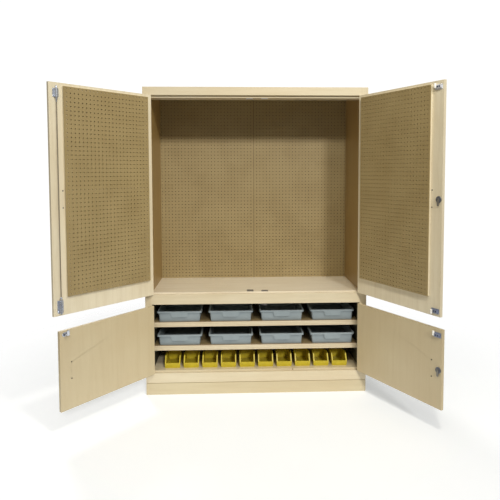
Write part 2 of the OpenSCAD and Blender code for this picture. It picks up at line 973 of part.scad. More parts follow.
// The elbow catch's base: a plate with two lugs that hold the pin
module elbow_base() {
    half_h = elbow_base_h / 2;
    lug_z = elbow_lug_h / 2;
    lug_x = elbow_lever_w / 2 + knuckle_gap;
    color(dark_steel) on_left_door(lower_left_open) translate([elbow_x, 0, elbow_z]) {
        block([-elbow_w / 2, door_in, -half_h], [elbow_w / 2, door_in + plate_t, half_h]);
        both_sides()
            block(
                [lug_x, door_in, -lug_z],
                [lug_x + elbow_lug_t, elbow_pin_y + elbow_lug_over, lug_z]
            );
        translate([0, elbow_pin_y, 0])
            x_rod(elbow_pin_r, 2 * lug_x + 1);
    }
}

// The lever: an arm that reaches into the case and turns up into a hook
module elbow_lever() {
    hook_h = elbow_hook_top - elbow_z;
    color(steel) on_left_door(lower_left_open) translate([elbow_x, elbow_pin_y, elbow_z])
        difference() {
            union() {
                x_rod(elbow_t, elbow_lever_w);
                block(
                    [-elbow_lever_w / 2, 0, -elbow_t],
                    [elbow_lever_w / 2, elbow_arm_l, 0]
                );
                block(
                    [-elbow_lever_w / 2, elbow_arm_l - elbow_t, -elbow_t],
                    [elbow_lever_w / 2, elbow_arm_l, hook_h]
                );
            }
            x_rod(elbow_pin_r + running_gap, elbow_lever_w + 2);
        }
}

// The metal plates on the case that bolts, studs and the elbow catch work against
module strikes() {
    bolt_case_x = bolt_x - pivot_x;
    bolt_case_y = bolt_y - pivot_stand;
    stud_x = pivot_x - door_edge - stud_s;
    stud_case_y = stud_y - pivot_stand;
    color(steel) in_case() {
        bolt_strike(bolt_case_x, bolt_case_y, stretcher_z - plate_t);
        bolt_strike(bolt_case_x, bolt_case_y, work_deck_top);
        stud_strike(stud_x, stud_case_y, stretcher_z - plate_t);
        stud_strike(stud_x, stud_case_y, work_deck_top);
        hanging_strike(stud_x);
        elbow_strike(elbow_x - pivot_x);
    }
}

module bolt_strike(x, y, z) {
    half_w = strike_w / 2;
    front = y - bolt_hole_r - strike_edge;
    difference() {
        block([x - half_w, front, z], [x + half_w, front + strike_l + strike_extra_l, z + plate_t]);
        translate([x, y, z - 1])
            cylinder(r = strike_hole_r, h = plate_t + 2);
    }
}

module stud_strike(x, y, z) {
    half_w = strike_w / 2;
    front = y - stud_r - strike_edge;
    block([x - half_w, front, z], [x + half_w, front + strike_l, z + plate_t]);
}

// An angle on the back of the middle rail that hangs down over the lower right stud
module hanging_strike(x) {
    half_w = 15;
    low = mid_rail_z - strike_hang;
    reach = stud_y - pivot_stand + stud_r;
    block([x - half_w, board_t, low], [x + half_w, board_t + plate_t, mid_rail_z + strike_leaf_h]);
    block([x - half_w, board_t, low], [x + half_w, reach, low + plate_t]);
}

// A bracket on the back of the middle rail whose lip the elbow catch hooks behind
module elbow_strike(x) {
    half_w = 12;
    shelf_z = elbow_hook_top + elbow_hook_air;
    lip_z = mid_rail_z - elbow_overlap;
    block(
        [x - half_w, board_t, shelf_z],
        [x + half_w, board_t + plate_t, shelf_z + strike_leaf_h]
    );
    block([x - half_w, board_t, shelf_z], [x + half_w, strike_lip_y + plate_t, shelf_z + plate_t]);
    block([x - half_w, strike_lip_y, lip_z], [x + half_w, strike_lip_y + plate_t, shelf_z + plate_t]);
}

// ---------------------------------------------------------------- trays and bins

// A box whose sides lean: half sizes at the foot and at the top, from z0 to z1
module leaning_box(foot, top, z0, z1) {
    intersection() {
        along_x(4 * top[0])
            polygon([[-foot[1], z0], [foot[1], z0], [top[1], z1], [-top[1], z1]]);
        translate([0, -2 * top[1], 0])
            along_y(4 * top[1])
                polygon([[-foot[0], z0], [foot[0], z0], [top[0], z1], [-top[0], z1]]);
    }
}

module tray() {
    half = [tray_w / 2, tray_d / 2];
    body = half - [tray_rim_w, tray_rim_w];
    lean = [tray_taper, tray_taper];
    wall = [tray_wall, tray_wall];
    slope = tray_taper / tray_h;
    over = 5;
    color(tray_grey) {
        difference() {
            union() {
                leaning_box(body - lean, body, 0, tray_h);
                block(
                    [-half[0], -half[1], tray_h - tray_rim_h],
                    [half[0], half[1], tray_h]
                );
            }
            leaning_box(
                body - lean - wall + [slope, slope] * tray_wall,
                body - wall + [slope, slope] * over,
                tray_wall,
                tray_h + over
            );
        }
        translate([0, -half[1], tray_h])
            along_y(flap_t)
                polygon([
                    [-flap_top_w / 2, -tray_rim_h / 2],
                    [flap_top_w / 2, -tray_rim_h / 2],
                    [flap_low_w / 2, -flap_h],
                    [-flap_low_w / 2, -flap_h]
                ]);
    }
}

module tray_at(shelf_top, i) {
    pitch = 2 * open_half / trays_per_shelf;
    in_case()
        translate([
            (i - (trays_per_shelf + 1) / 2) * pitch,
            shelf_setback + tray_d / 2,
            shelf_top
        ])
            tray();
}

// A bin's cross-section with rounded lower corners
module bin_section(half_w, r, low, high) {
    translate([-half_w, low + r])
        square([2 * half_w, high - low - r]);
    translate([-half_w + r, low])
        square([2 * (half_w - r), r + 1]);
    for (side = [-1, 1])
        translate([side * (half_w - r), low + r])
            circle(r = r);
}

module bin() {
    half = bin_w / 2 - bin_flange;
    inner_r = bin_corner_r - bin_wall;
    over = 10;
    color(bin_yellow) {
        difference() {
            intersection() {
                along_x(bin_w)
                    polygon([
                        [bin_lean, 0],
                        [0, bin_lip_h],
                        [bin_slope_d, bin_h],
                        [bin_d, bin_h],
                        [bin_d, 0]
                    ]);
                along_y(bin_d)
                    bin_section(half, bin_corner_r, 0, bin_h);
            }
            intersection() {
                along_x(bin_w)
                    polygon([
                        [bin_lean + bin_wall, bin_wall],
                        [bin_wall, bin_lip_h],
                        [bin_wall, bin_h + over],
                        [bin_d - bin_wall, bin_h + over],
                        [bin_d - bin_wall, bin_wall]
                    ]);
                along_y(bin_d)
                    bin_section(half - bin_wall, inner_r, bin_wall, bin_h + over);
            }
        }
        both_sides()
            bin_side_flange(half - bin_wall / 2);
        intersection() {
            along_x(bin_w)
                polygon([
                    [bin_lean, 0],
                    [0, bin_lip_h],
                    [bin_wall, bin_lip_h],
                    [bin_lean + bin_wall, 0]
                ]);
            along_y(bin_d)
                bin_section(bin_w / 2, bin_corner_r, 0, bin_lip_h);
        }
    }
}

// The flange along one side's sloping edge and level top, from inner_x outwards
module bin_side_flange(inner_x) {
    length = bin_w / 2 - inner_x;
    translate([inner_x + length / 2, 0, 0])
        along_x(length)
            polygon([
                [0, bin_lip_h],
                [bin_slope_d, bin_h],
                [bin_d, bin_h],
                [bin_d, bin_h - bin_flange_t],
                [bin_slope_d + bin_flange_t / 2, bin_h - bin_flange_t],
                [bin_flange_t, bin_lip_h - 1],
                [0, bin_lip_h - 1]
            ]);
}

module bin_at(i) {
    in_case()
        translate([(i - (bin_count + 1) / 2) * bin_pitch, bin_setback, bottom_deck_top])
            bin();
}

// ---------------------------------------------------------------- assembly

plinth();
face_frame();
case_sides();
upper_linings();
lower_linings();
battens();
bottom_deck();
work_deck();
head_stretcher();
top_board();
back_pegboards();
back_panel();
shelves();
shelf_nosings();
frame_hinge_leaves();
hinge_pins();
strikes();
upper_left_door();
on_left_door(upper_left_open) door_pegboard();  // upper_left_pegboard
on_left_door(upper_left_open) door_hinge_leaves(upper_hinges);  // upper_left_hinge_leaves
on_left_door(upper_left_open) door_pull(upper_door_z + upper_pull_z);  // upper_left_pull
upper_right_door();
on_right_door(upper_right_open) door_pegboard();  // upper_right_pegboard
on_right_door(upper_right_open) door_hinge_leaves(upper_hinges);  // upper_right_hinge_leaves
on_right_door(upper_right_open) door_pull(upper_door_z + upper_pull_z);  // upper_right_pull
lower_left_door();
on_left_door(lower_left_open) door_hinge_leaves(lower_hinges);  // lower_left_hinge_leaves
on_left_door(lower_left_open) door_pull(lower_door_z + lower_pull_z);  // lower_left_pull
lower_right_door();
on_right_door(lower_right_open) door_hinge_leaves(lower_hinges);  // lower_right_hinge_leaves
on_right_door(lower_right_open) door_pull(lower_door_z + lower_pull_z);  // lower_right_pull
bolt_cases();
top_bolt();
bottom_bolt();
on_right_door(upper_right_open) lock_case(upper_door_z + upper_lock_z);  // upper_lock
on_right_door(upper_right_open) lock_cam(upper_door_z + upper_lock_z);  // upper_cam
on_right_door(lower_right_open) lock_case(lower_door_z + lower_lock_z);  // lower_lock
on_right_door(lower_right_open) lock_cam(lower_door_z + lower_lock_z);  // lower_cam
upper_right_catches();
lower_right_catch();
elbow_base();
elbow_lever();
for (i = [1:trays_per_shelf])
    tray_at(upper_shelf_top, i);
for (i = [1:trays_per_shelf])
    tray_at(lower_shelf_top, i);
for (i = [1:bin_count])
    bin_at(i);
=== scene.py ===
import json
import math

import bmesh
import bpy
from mathutils import Euler, Matrix, Vector


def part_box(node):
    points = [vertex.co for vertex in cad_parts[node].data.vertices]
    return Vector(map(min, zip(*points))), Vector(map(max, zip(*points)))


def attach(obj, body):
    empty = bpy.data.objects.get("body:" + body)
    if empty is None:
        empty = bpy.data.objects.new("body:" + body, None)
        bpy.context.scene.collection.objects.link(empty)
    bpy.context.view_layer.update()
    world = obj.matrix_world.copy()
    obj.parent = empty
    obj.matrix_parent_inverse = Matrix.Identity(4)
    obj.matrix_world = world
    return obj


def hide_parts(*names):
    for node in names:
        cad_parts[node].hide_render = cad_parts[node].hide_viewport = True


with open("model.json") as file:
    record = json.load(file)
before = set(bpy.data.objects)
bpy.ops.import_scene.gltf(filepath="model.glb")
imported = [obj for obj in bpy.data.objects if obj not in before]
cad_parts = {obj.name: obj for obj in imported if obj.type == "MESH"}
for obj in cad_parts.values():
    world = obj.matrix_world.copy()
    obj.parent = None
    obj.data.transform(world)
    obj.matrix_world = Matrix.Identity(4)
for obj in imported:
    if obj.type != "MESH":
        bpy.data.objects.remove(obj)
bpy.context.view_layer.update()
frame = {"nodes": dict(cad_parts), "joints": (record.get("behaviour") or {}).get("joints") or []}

# ------------------------------------------------------------------ plinth and case boards
# Pale maple boards under clear satin lacquer, glued up into a plinth, a face frame, side
# panels, decks and shelves. Each board keeps its CAD shape, and its arrises are eased.

MM = 0.001
MAPLE_LIGHT = (222, 211, 184)
MAPLE_DARK = (184, 164, 122)
MAPLE_TAN = (212, 194, 160)
ARRIS = 0.9 * MM
WELD_GAP = 0.001 * MM
FLAT_WITHIN = math.radians(15.0)


def tone(red, green, blue):
    """A paint chip's 0 to 255 values as a linear colour."""
    return tuple(
        c / 12.92 if c <= 0.04045 else ((c + 0.055) / 1.055) ** 2.4
        for c in (red / 255, green / 255, blue / 255)
    ) + (1.0,)


class Field:
    """A value that varies from place to place: one output socket of a node."""

    def __init__(self, nodes, socket):
        self.nodes, self.socket = nodes, socket

    def math(self, operation, *others):
        values = dict(enumerate((self, *others)))
        return self.nodes.node("Math", {"operation": operation}, values)

    def __add__(self, other):
        return self.math("ADD", other)

    def __sub__(self, other):
        return self.math("SUBTRACT", other)

    def __mul__(self, other):
        return self.math("MULTIPLY", other)

    def __rsub__(self, other):
        return (self * -1.0) + other

    def __pow__(self, other):
        return self.math("POWER", other)

    def __gt__(self, other):
        return self.math("GREATER_THAN", other)

    def __lt__(self, other):
        return self.math("LESS_THAN", other)

    __radd__ = __add__
    __rmul__ = __mul__

    def size(self):
        return self.math("ABSOLUTE")

    def rise(self, low, high):
        """0 below low, 1 above high, and a smooth step between them."""
        return self.nodes.node(
            "MapRange",
            {"interpolation_type": "SMOOTHSTEP"},
            {"Value": self, "From Min": low, "From Max": high},
        )


class Nodes:
    """A node tree whose nodes are added one at a time."""

    def __init__(self, tree):
        self.tree = tree

    def node(self, kind, settings, sockets, output=0):
        made = self.tree.nodes.new("ShaderNode" + kind)
        for name, value in settings.items():
            setattr(made, name, value)
        for name, value in sockets.items():
            self.feed(made.inputs[name], value)
        if output is not None:
            return Field(self, made.outputs[output])

    def feed(self, socket, value):
        if isinstance(value, Field):
            self.tree.links.new(value.socket, socket)
        else:
            socket.default_value = value


class Finish(Nodes):
    """A material for one kind of surface."""

    def __init__(self, name, fixed=()):
        self.material = bpy.data.materials.new(name)
        self.material.use_nodes = True
        super().__init__(self.material.node_tree)
        self.shader = self.tree.nodes["Principled BSDF"]
        for socket, value in dict(fixed).items():
            self.shader.inputs[socket].default_value = value
        self.place = self.node("TexCoord", {}, {}, "Object")

    def scaled(self, vector, factors):
        return self.node("VectorMath", {"operation": "MULTIPLY"}, {0: vector, 1: factors})

    def length(self, vector):
        return self.node("VectorMath", {"operation": "LENGTH"}, {0: vector}, "Value")

    def axis(self, name):
        return self.node("SeparateXYZ", {}, {0: self.place}, name)

    def noise(self, vector, scale, detail=2.0, distortion=0.0):
        sockets = {"Vector": vector, "Scale": scale, "Detail": detail, "Distortion": distortion}
        return self.node("TexNoise", {}, sockets)

    def blend(self, share, first, second):
        return self.node("Mix", {"data_type": "RGBA"}, {0: share, 6: first, 7: second}, 2)

    def pick(self, share, first, second):
        return self.node("Mix", {"data_type": "VECTOR"}, {0: share, 4: first, 5: second}, 1)

    def surface(self, colour, roughness, height=None, depth=0.0, metallic=None):
        self.feed(self.shader.inputs["Base Color"], colour)
        self.feed(self.shader.inputs["Roughness"], roughness)
        if metallic is not None:
            self.feed(self.shader.inputs["Metallic"], metallic)
        if height is not None:
            bump = self.node("Bump", {}, {"Height": height, "Distance": depth, "Strength": 1.0})
            self.feed(self.shader.inputs["Normal"], bump)
        return self.material


# Grain that runs along an axis: how much a pattern is shrunk on x, y and z.
ALONG = 0.07
X_RUN = (ALONG, 1.0, 1.0)
Y_RUN = (1.0, ALONG, 1.0)
Z_RUN = (1.0, 1.0, ALONG)


def maple(name, run, turned_run=None, turned_past=0.0, extra=None, light=MAPLE_LIGHT, tan=MAPLE_TAN):
    """Maple whose grain follows run, or turned_run where |x| is past turned_past metres.

    The first number of each noise is how many of its waves lie in a metre."""
    finish = Finish(name, {"Coat Weight": 0.25, "Coat Roughness": 0.28})
    grain = finish.scaled(finish.place, run)
    if turned_run:
        past = finish.axis("X").size() > turned_past
        grain = finish.pick(past, grain, finish.scaled(finish.place, turned_run))
    broad = finish.noise(grain, 6.0, 3.0, 0.5)
    figure = (broad * 9.0).math("PINGPONG", 1.0) ** 3.0
    fibre = finish.noise(grain, 240.0, 4.0)
    pores = finish.noise(grain, 620.0, 2.0).rise(0.6, 0.75)
    patch = finish.noise(finish.place, 2.4, 2.0).rise(0.3, 0.75)
    streak = finish.noise(grain, 46.0, 3.0).rise(0.35, 0.8)
    depth = figure * 0.1 + fibre * 0.2 + pores * 0.16 + streak * 0.16
    colour = finish.blend(depth, tone(*light), tone(*MAPLE_DARK))
    colour = finish.blend(patch * 0.5, colour, finish.blend(depth, tone(*tan), tone(*MAPLE_DARK)))
    if extra:
        colour = extra(finish, colour)
    return finish.surface(colour, fibre * 0.16 + 0.38, fibre * 0.6 + pores * -0.8, 0.12 * MM)


def dress(node, material, ease=ARRIS):
    """Gives a CAD node its finish, eases its sharp edges, and keeps its flat faces flat."""
    piece = frame["nodes"][node]
    for place in piece.material_slots:
        place.link = "OBJECT"
        place.material = material
    if ease:
        weld = piece.modifiers.new("weld", "WELD")
        weld.merge_threshold = WELD_GAP
        bevel = piece.modifiers.new("ease", "BEVEL")
        bevel.width = ease
        bevel.segments = 2
        bevel.limit_method = "ANGLE"
        split = piece.modifiers.new("flat faces", "EDGE_SPLIT")
        split.split_angle = FLAT_WITHIN


# Further out than these, frame boards stand upright and plinth boards run front to back.
STILE_EDGE = 717.0 * MM
PLINTH_EDGE = 742.9 * MM

upright_maple = maple("maple_upright", Z_RUN)
lying_maple = maple("maple_lying", X_RUN)
plinth_maple = maple(
    "maple_plinth", X_RUN, Y_RUN, PLINTH_EDGE, light=(208, 196, 164), tan=(198, 180, 144)
)
# Painted shade: the upper linings take a darker copy of the maple.
shaded_lining_maple = maple("maple_lining", Z_RUN, light=(158, 127, 70), tan=(144, 112, 56))
shelf_maple = maple("maple_shelf", X_RUN, light=(140, 120, 84), tan=(124, 104, 70))
# Painted light: the work deck takes a lighter copy of the maple.
lit_deck_maple = maple("maple_deck", X_RUN, light=(242, 234, 216), tan=(234, 222, 198))
dress("plinth", plinth_maple)
dress("face_frame", maple("maple_frame", X_RUN, Z_RUN, STILE_EDGE))
dress("case_sides", upright_maple)
dress("upper_linings", shaded_lining_maple)
for board in ("head_stretcher", "top_board"):
    dress(board, lying_maple)
dress("shelves", shelf_maple)
dress("work_deck", lit_deck_maple)

KNOT_PLACE = (252.0 * MM, 0.0, 158.0 * MM)
KNOT_HEART = 1.5 * MM
KNOT_REACH = 7.0 * MM


def knot(finish, colour):
    """One small dark knot in the front edge of the bottom deck."""
    seen_from_front = finish.scaled(finish.place, (1, 0, 1))
    offset = finish.node(
        "VectorMath", {"operation": "SUBTRACT"}, {0: seen_from_front, 1: KNOT_PLACE}
    )
    mask = 1.0 - finish.length(offset).rise(KNOT_HEART, KNOT_REACH)
    return finish.blend(mask, colour, tone(96, 52, 24))


dress("bottom_deck", maple("maple_bottom_deck", X_RUN, extra=knot))


SHELF_PITCH = 166.5 * MM
NOSING_FOOT = 289.5 * MM
NOSING_STRIP = 11.0 * MM


def glue_lines(finish, colour):
    """The nosings are glued up from strips: two dark lines run along each of them."""
    height = (finish.axis("Z") - NOSING_FOOT).math("WRAP", SHELF_PITCH, 0.0)
    line = height.math("PINGPONG", NOSING_STRIP / 2.0)
    mask = 1.0 - line.rise(0.2 * MM, 1.6 * MM)
    return finish.blend(mask * 0.55, colour, tone(138, 96, 56))


dress("shelf_nosings", maple("maple_nosing", X_RUN, extra=glue_lines))

# ------------------------------------------------------------------ battens and back panel
# Rough softwood battens inside the side walls and behind the pegboard, and a thin birch
# plywood skin nailed over the back.


def softwood(name):
    """Sawn softwood, darkened with painted shade where it stands behind the pegboard's holes."""
    finish = Finish(name)
    grain = finish.scaled(finish.place, Z_RUN)
    rings = (finish.noise(grain, 20.0, 2.0, 0.4) * 9.0).math("PINGPONG", 1.0) ** 2.0
    saw = finish.noise(finish.scaled(finish.place, (1.0, 1.0, 30.0)), 30.0, 2.0)
    colour = finish.blend(rings * 0.6 + saw * 0.2, tone(226, 196, 146), tone(172, 118, 66))
    # Painted shade: the battens turn dark behind the pegboard sheets, so its holes look dark.
    shaded_behind_sheets = finish.axis("Y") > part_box("back_pegboards")[1].y - MM
    colour = finish.blend(shaded_behind_sheets * 0.92, colour, tone(60, 44, 26))
    return finish.surface(colour, saw * 0.2 + 0.6, saw + rings, 0.3 * MM)


skin_low, skin_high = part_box("back_panel")
SKIN_MIDDLE = (skin_low.y + skin_high.y) / 2


def birch_skin(name):
    """Birch on the outside, and painted shade on its face towards the pegboard."""
    finish = Finish(name, {"Coat Weight": 0.1, "Coat Roughness": 0.4})
    grain = finish.scaled(finish.place, Z_RUN)
    flame = (finish.noise(grain, 5.0, 3.0, 1.6) * 13.0).math("PINGPONG", 1.0) ** 2.0
    fibre = finish.noise(grain, 200.0, 3.0)
    colour = finish.blend(flame * 0.45 + fibre * 0.3, tone(222, 198, 158), tone(178, 140, 96))
    # Painted shade: the face towards the pegboard is darkened.
    inside = finish.axis("Y") < SKIN_MIDDLE
    colour = finish.blend(inside * 0.95, colour, tone(52, 40, 24))
    return finish.surface(colour, fibre * 0.2 + 0.45, fibre, 0.15 * MM)


dress("battens", softwood("rough_softwood"))
dress("back_panel", birch_skin("birch_back"))

# ------------------------------------------------------------------ dark linings
# The lower compartment is lined with charcoal board on its back and sides, with strips of
# the same board screwed on under the shelf ends.


def charcoal(name):
    finish = Finish(name)
    grain = finish.noise(finish.scaled(finish.place, Z_RUN), 150.0, 4.0)
    patch = finish.noise(finish.place, 9.0, 3.0).rise(0.3, 0.8)
    colour = finish.blend(grain * 0.5 + patch * 0.4, tone(58, 59, 47), tone(86, 84, 68))
    return finish.surface(colour, grain * 0.2 + 0.5, grain, 0.2 * MM)


dress("lower_linings", charcoal("charcoal_board"))

# ------------------------------------------------------------------ pegboards
# Tempered hardboard with round holes on a 25.4 mm grid: two sheets across the back, which
# meet in the middle, and one sheet on each upper door, held off it by maple strips.

PITCH = 25.4 * MM
HOLE_R = 3.8 * MM
HOLE_SIDES = 8
TURNED_SIDES = 20
ROD_SIDES = 14
SMOOTH_BELOW = math.radians(35.0)
MERGE_GAP = 0.002 * MM


def circle(centre, side, other, radius, sides):
    """Points round a centre, in the plane of two directions at right angles."""
    angles = [2 * math.pi * i / sides for i in range(sides)]
    return [centre + (side * math.cos(a) + other * math.sin(a)) * radius for a in angles]


class Shape:
    """Points and faces gathered in a part's own axes, and then set down as one piece."""

    def __init__(self):
        self.points, self.faces, self.paints = [], [], []

    def add(self, points, faces, paint=0):
        first = len(self.points)
        self.points += [tuple(p) for p in points]
        self.faces += [[first + i for i in face] for face in faces]
        self.paints += [paint] * len(faces)

    def loft(self, loops, paint=0, ends=True):
        """A skin over closed loops of equal length, one after another."""
        count = len(loops[0])
        last = (len(loops) - 1) * count
        faces = []
        for low in range(0, last, count):
            high = low + count
            for i in range(count):
                j = (i + 1) % count
                faces.append([low + i, low + j, high + j, high + i])
        if ends:
            faces.append(list(range(count)))
            faces.append([last + i for i in range(count)])
        self.add([p for loop in loops for p in loop], faces, paint)

    def slab(self, outline, along, start, stop, paint=0):
        """A flat outline, drawn in the other two axes, made thick from start to stop."""
        def at(p, d):
            return {"x": (d, p[0], p[1]), "y": (p[0], d, p[1]), "z": (p[0], p[1], d)}[along]

        self.loft([[at(p, start) for p in outline], [at(p, stop) for p in outline]], paint)

    def turned(self, centre, axis, profile, paint=0):
        """A turned shape: profile lists (distance along axis, radius)."""
        axis = Vector(axis).normalized()
        side = axis.orthogonal().normalized()
        other = axis.cross(side)
        self.loft([
            circle(Vector(centre) + axis * distance, side, other, radius, TURNED_SIDES)
            for distance, radius in profile
        ], paint)

    def rod(self, path, radius):
        """A round bar along a path of points in one plane."""
        path = [Vector(p) for p in path]
        ways = [(b - a).normalized() for a, b in zip(path, path[1:])]
        ways = [ways[0]] + [(a + b).normalized() for a, b in zip(ways, ways[1:])] + [ways[-1]]
        flat = next((w.cross(ways[0]) for w in ways if w.cross(ways[0]).length > 0.1), None)
        flat = (flat or ways[0].orthogonal()).normalized()
        self.loft([circle(p, flat, w.cross(flat), radius, ROD_SIDES) for p, w in zip(path, ways)])

    def piece(self, name, body, slot, materials, place=None, ease=0.0):
        """Sets the shape down as an object that rides on a CAD body."""
        mesh = bpy.data.meshes.new(name)
        mesh.from_pydata(self.points, [], self.faces)
        for material in materials:
            mesh.materials.append(material)
        mesh.polygons.foreach_set("material_index", self.paints)
        work = bmesh.new()
        work.from_mesh(mesh)
        bmesh.ops.remove_doubles(work, verts=work.verts, dist=MERGE_GAP)
        if place:
            work.transform(place)
        bmesh.ops.recalc_face_normals(work, faces=work.faces)
        work.to_mesh(mesh)
        work.free()
        mesh.shade_smooth()
        mesh.set_sharp_from_angle(angle=SMOOTH_BELOW)
        made = bpy.data.objects.new(name, mesh)
        bpy.context.scene.collection.objects.link(made)
        if ease:
            bevel = made.modifiers.new("ease", "BEVEL")
            bevel.width = ease
            bevel.segments = 2
            bevel.limit_method = "ANGLE"
            bevel.harden_normals = True
        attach(made, body)
        return made


def perforated(low, high, front, back, columns, rows):
    """A sheet from low to high in its own plane, with a grid of holes centred on it.

    It is made of one cell round each hole; u runs across the sheet and v up it."""
    sheet = Shape()
    us = [(low[0] + high[0]) / 2 + (i - (columns - 1) / 2) * PITCH for i in range(columns)]
    vs = [(low[1] + high[1]) / 2 + (j - (rows - 1) / 2) * PITCH for j in range(rows)]
    u_cuts = [low[0]] + [(a + b) / 2 for a, b in zip(us, us[1:])] + [high[0]]
    v_cuts = [low[1]] + [(a + b) / 2 for a, b in zip(vs, vs[1:])] + [high[1]]
    turn = [2 * math.pi * k / HOLE_SIDES for k in range(HOLE_SIDES)]
    quarter = HOLE_SIDES // 4
    for i, u in enumerate(us):
        for j, v in enumerate(vs):
            u0, u1, v0, v1 = u_cuts[i], u_cuts[i + 1], v_cuts[j], v_cuts[j + 1]
            rim = [(u1, v), (u1, v1), (u, v1), (u0, v1), (u0, v), (u0, v0), (u, v0), (u1, v0)]
            hole = [(u + HOLE_R * math.cos(a), v + HOLE_R * math.sin(a)) for a in turn]
            outline = rim + hole
            first, count = len(rim), len(outline)
            faces = []
            for q in range(4):
                arc = [first + (q * quarter + k) % HOLE_SIDES for k in range(quarter, -1, -1)]
                corner = [2 * q, 2 * q + 1, (2 * q + 2) % first]
                faces.append(corner + arc)
                faces.append([count + k for k in reversed(corner + arc)])
            for k in range(HOLE_SIDES):
                a, b = first + k, first + (k + 1) % HOLE_SIDES
                faces.append([a, b, count + b, count + a])
            # Only the outermost cells have a side on the sheet's own edge.
            edges = []
            if i == 0:
                edges += [(3, 4), (4, 5)]
            if i == columns - 1:
                edges += [(7, 0), (0, 1)]
            if j == 0:
                edges += [(5, 6), (6, 7)]
            if j == rows - 1:
                edges += [(1, 2), (2, 3)]
            faces += [[a, b, count + b, count + a] for a, b in edges]
            sheet.add([(x, y, z) for y in (front, back) for x, z in outline], faces)
    return sheet


def hardboard(name):
    finish = Finish(name, {"Coat Weight": 0.08, "Coat Roughness": 0.35})
    fibre = finish.noise(finish.place, 420.0, 5.0)
    cloud = finish.noise(finish.place, 6.0, 3.0).rise(0.25, 0.8)
    fleck = finish.noise(finish.scaled(finish.place, (1.0, 1.0, 2.5)), 160.0, 2.0).rise(0.62, 0.72)
    colour = finish.blend(fibre * 0.5 + cloud * 0.35, tone(168, 149, 106), tone(138, 118, 76))
    colour = finish.blend(fleck * 0.35, colour, tone(100, 80, 48))
    return finish.surface(colour, fibre * 0.2 + 0.42, fibre, 0.1 * MM)


brown_board = hardboard("tempered_hardboard")
# Holes across and up each sheet.
BACK_GRID = (28, 54)
DOOR_GRID = (23, 48)
SEAM_HALF = 1.5 * MM

back_low, back_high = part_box("back_pegboards")
for side, name in ((-1, "back_peg_sheet_left"), (1, "back_peg_sheet_right")):
    edges = sorted((side * SEAM_HALF, side * back_high.x))
    sheet = perforated(
        (edges[0], back_low.z), (edges[1], back_high.z), back_low.y, back_high.y, *BACK_GRID
    )
    made = sheet.piece(name, "case", "hardboard", [brown_board])
    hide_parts("back_pegboards")

# ------------------------------------------------------------------ doors
# Four flat maple slabs on butt hinges. A door's own axes run along it from the hinge pin,
# into the case when it is shut, and up; door_place turns them into the cabinet's.

DOORS = ("upper_left", "upper_right", "lower_left", "lower_right")
ABOVE_ALL = 9.0
hinge_joints = {
    joint["name"].replace("_hinge", ""): joint
    for joint in frame["joints"]
    if joint["name"].endswith("_hinge")
}


def door_place(door):
    """From a door's own axes to the cabinet's, as the door stands in the photograph."""
    joint = hinge_joints[door]
    pin = joint["pos_m"]
    opened = math.radians(-joint["range_deg"][0])
    inwards = 1.0 if pin[0] < 0 else -1.0
    along = Vector((inwards * math.cos(opened), -math.sin(opened), 0.0))
    into = Vector((inwards * math.sin(opened), math.cos(opened), 0.0))
    place = Matrix.Identity(4)
    for row in range(3):
        place[row][0], place[row][1] = along[row], into[row]
        place[row][3] = pin[row] if row < 2 else 0.0
    return place


def door_box(node, door, low_z=0.0, high_z=ABOVE_ALL):
    """The corners of what a CAD node has between two heights, in its door's own axes."""
    back = door_place(door).inverted()
    points = [back @ v.co for v in frame["nodes"][node].data.vertices]
    points = [p for p in points if low_z <= p.z <= high_z]
    low = Vector(min(p[i] for p in points) for i in range(3))
    high = Vector(max(p[i] for p in points) for i in range(3))
    return low, high


# Painted light and shade: the upper doors take a lighter copy of the maple, the lower doors a darker
# one.
lit_upper_door_maple = maple("maple_upper_doors", Z_RUN, light=(236, 227, 203), tan=(227, 213, 184))
shaded_lower_door_maple = maple("maple_lower_doors", Z_RUN, light=(206, 192, 159), tan=(196, 176, 138))
for door in DOORS:
    door_maple = lit_upper_door_maple if door.startswith("upper") else shaded_lower_door_maple
    dress(door + "_door", door_maple)
for door in ("upper_left", "upper_right"):
    low, high = door_box(door + "_pegboard", door)
    sheet = perforated((low.x, low.z), (high.x, high.z), low.y, high.y, *DOOR_GRID)
    made = sheet.piece(
        door + "_peg_sheet", door + "_leaf", "hardboard", [brown_board], place=door_place(door)
    )
    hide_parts(door + "_pegboard")

# ------------------------------------------------------------------ trays
# Eight vacuum-formed trays of grey plastic, four on each shelf: leaning walls, a rim that
# turns down all round, and a flap on the front to pull by.

# From here on a piece is drawn in millimetres, and mm_scaled turns it into metres.
TRAY_RIM_W = 9.0
TRAY_RIM_H = 12.0
TRAY_TAPER = 6.0
TRAY_WALL = 2.5
SKIRT = 1.6
FLAP_TOP_W = 122.0
FLAP_LOW_W = 105.0
FLAP_DROP = 42.0
FLAP_T = 2.4
BEAD_R = 2.6
TRAY_CORNER_STEPS = 5


def round_plate(x0, y0, x1, y1, radius, steps=4):
    """A flat rectangle's outline with round corners."""
    middles = (
        (x1 - radius, y1 - radius), (x0 + radius, y1 - radius),
        (x0 + radius, y0 + radius), (x1 - radius, y0 + radius),
    )
    points = []
    for quarter, (x, y) in enumerate(middles):
        for step in range(steps + 1):
            a = math.pi / 2 * (quarter + step / steps)
            points.append((x + radius * math.cos(a), y + radius * math.sin(a)))
    return points


def ring(half_x, half_y, radius, z):
    """A rectangle with round corners, as a loop of points at one height."""
    outline = round_plate(-half_x, -half_y, half_x, half_y, radius, TRAY_CORNER_STEPS)
    return [(x, y, z) for x, y in outline]


def mm_scaled(shape):
    """Turns a shape drawn in millimetres into metres."""
    shape.points = [(x * MM, y * MM, z * MM) for x, y, z in shape.points]
    return shape


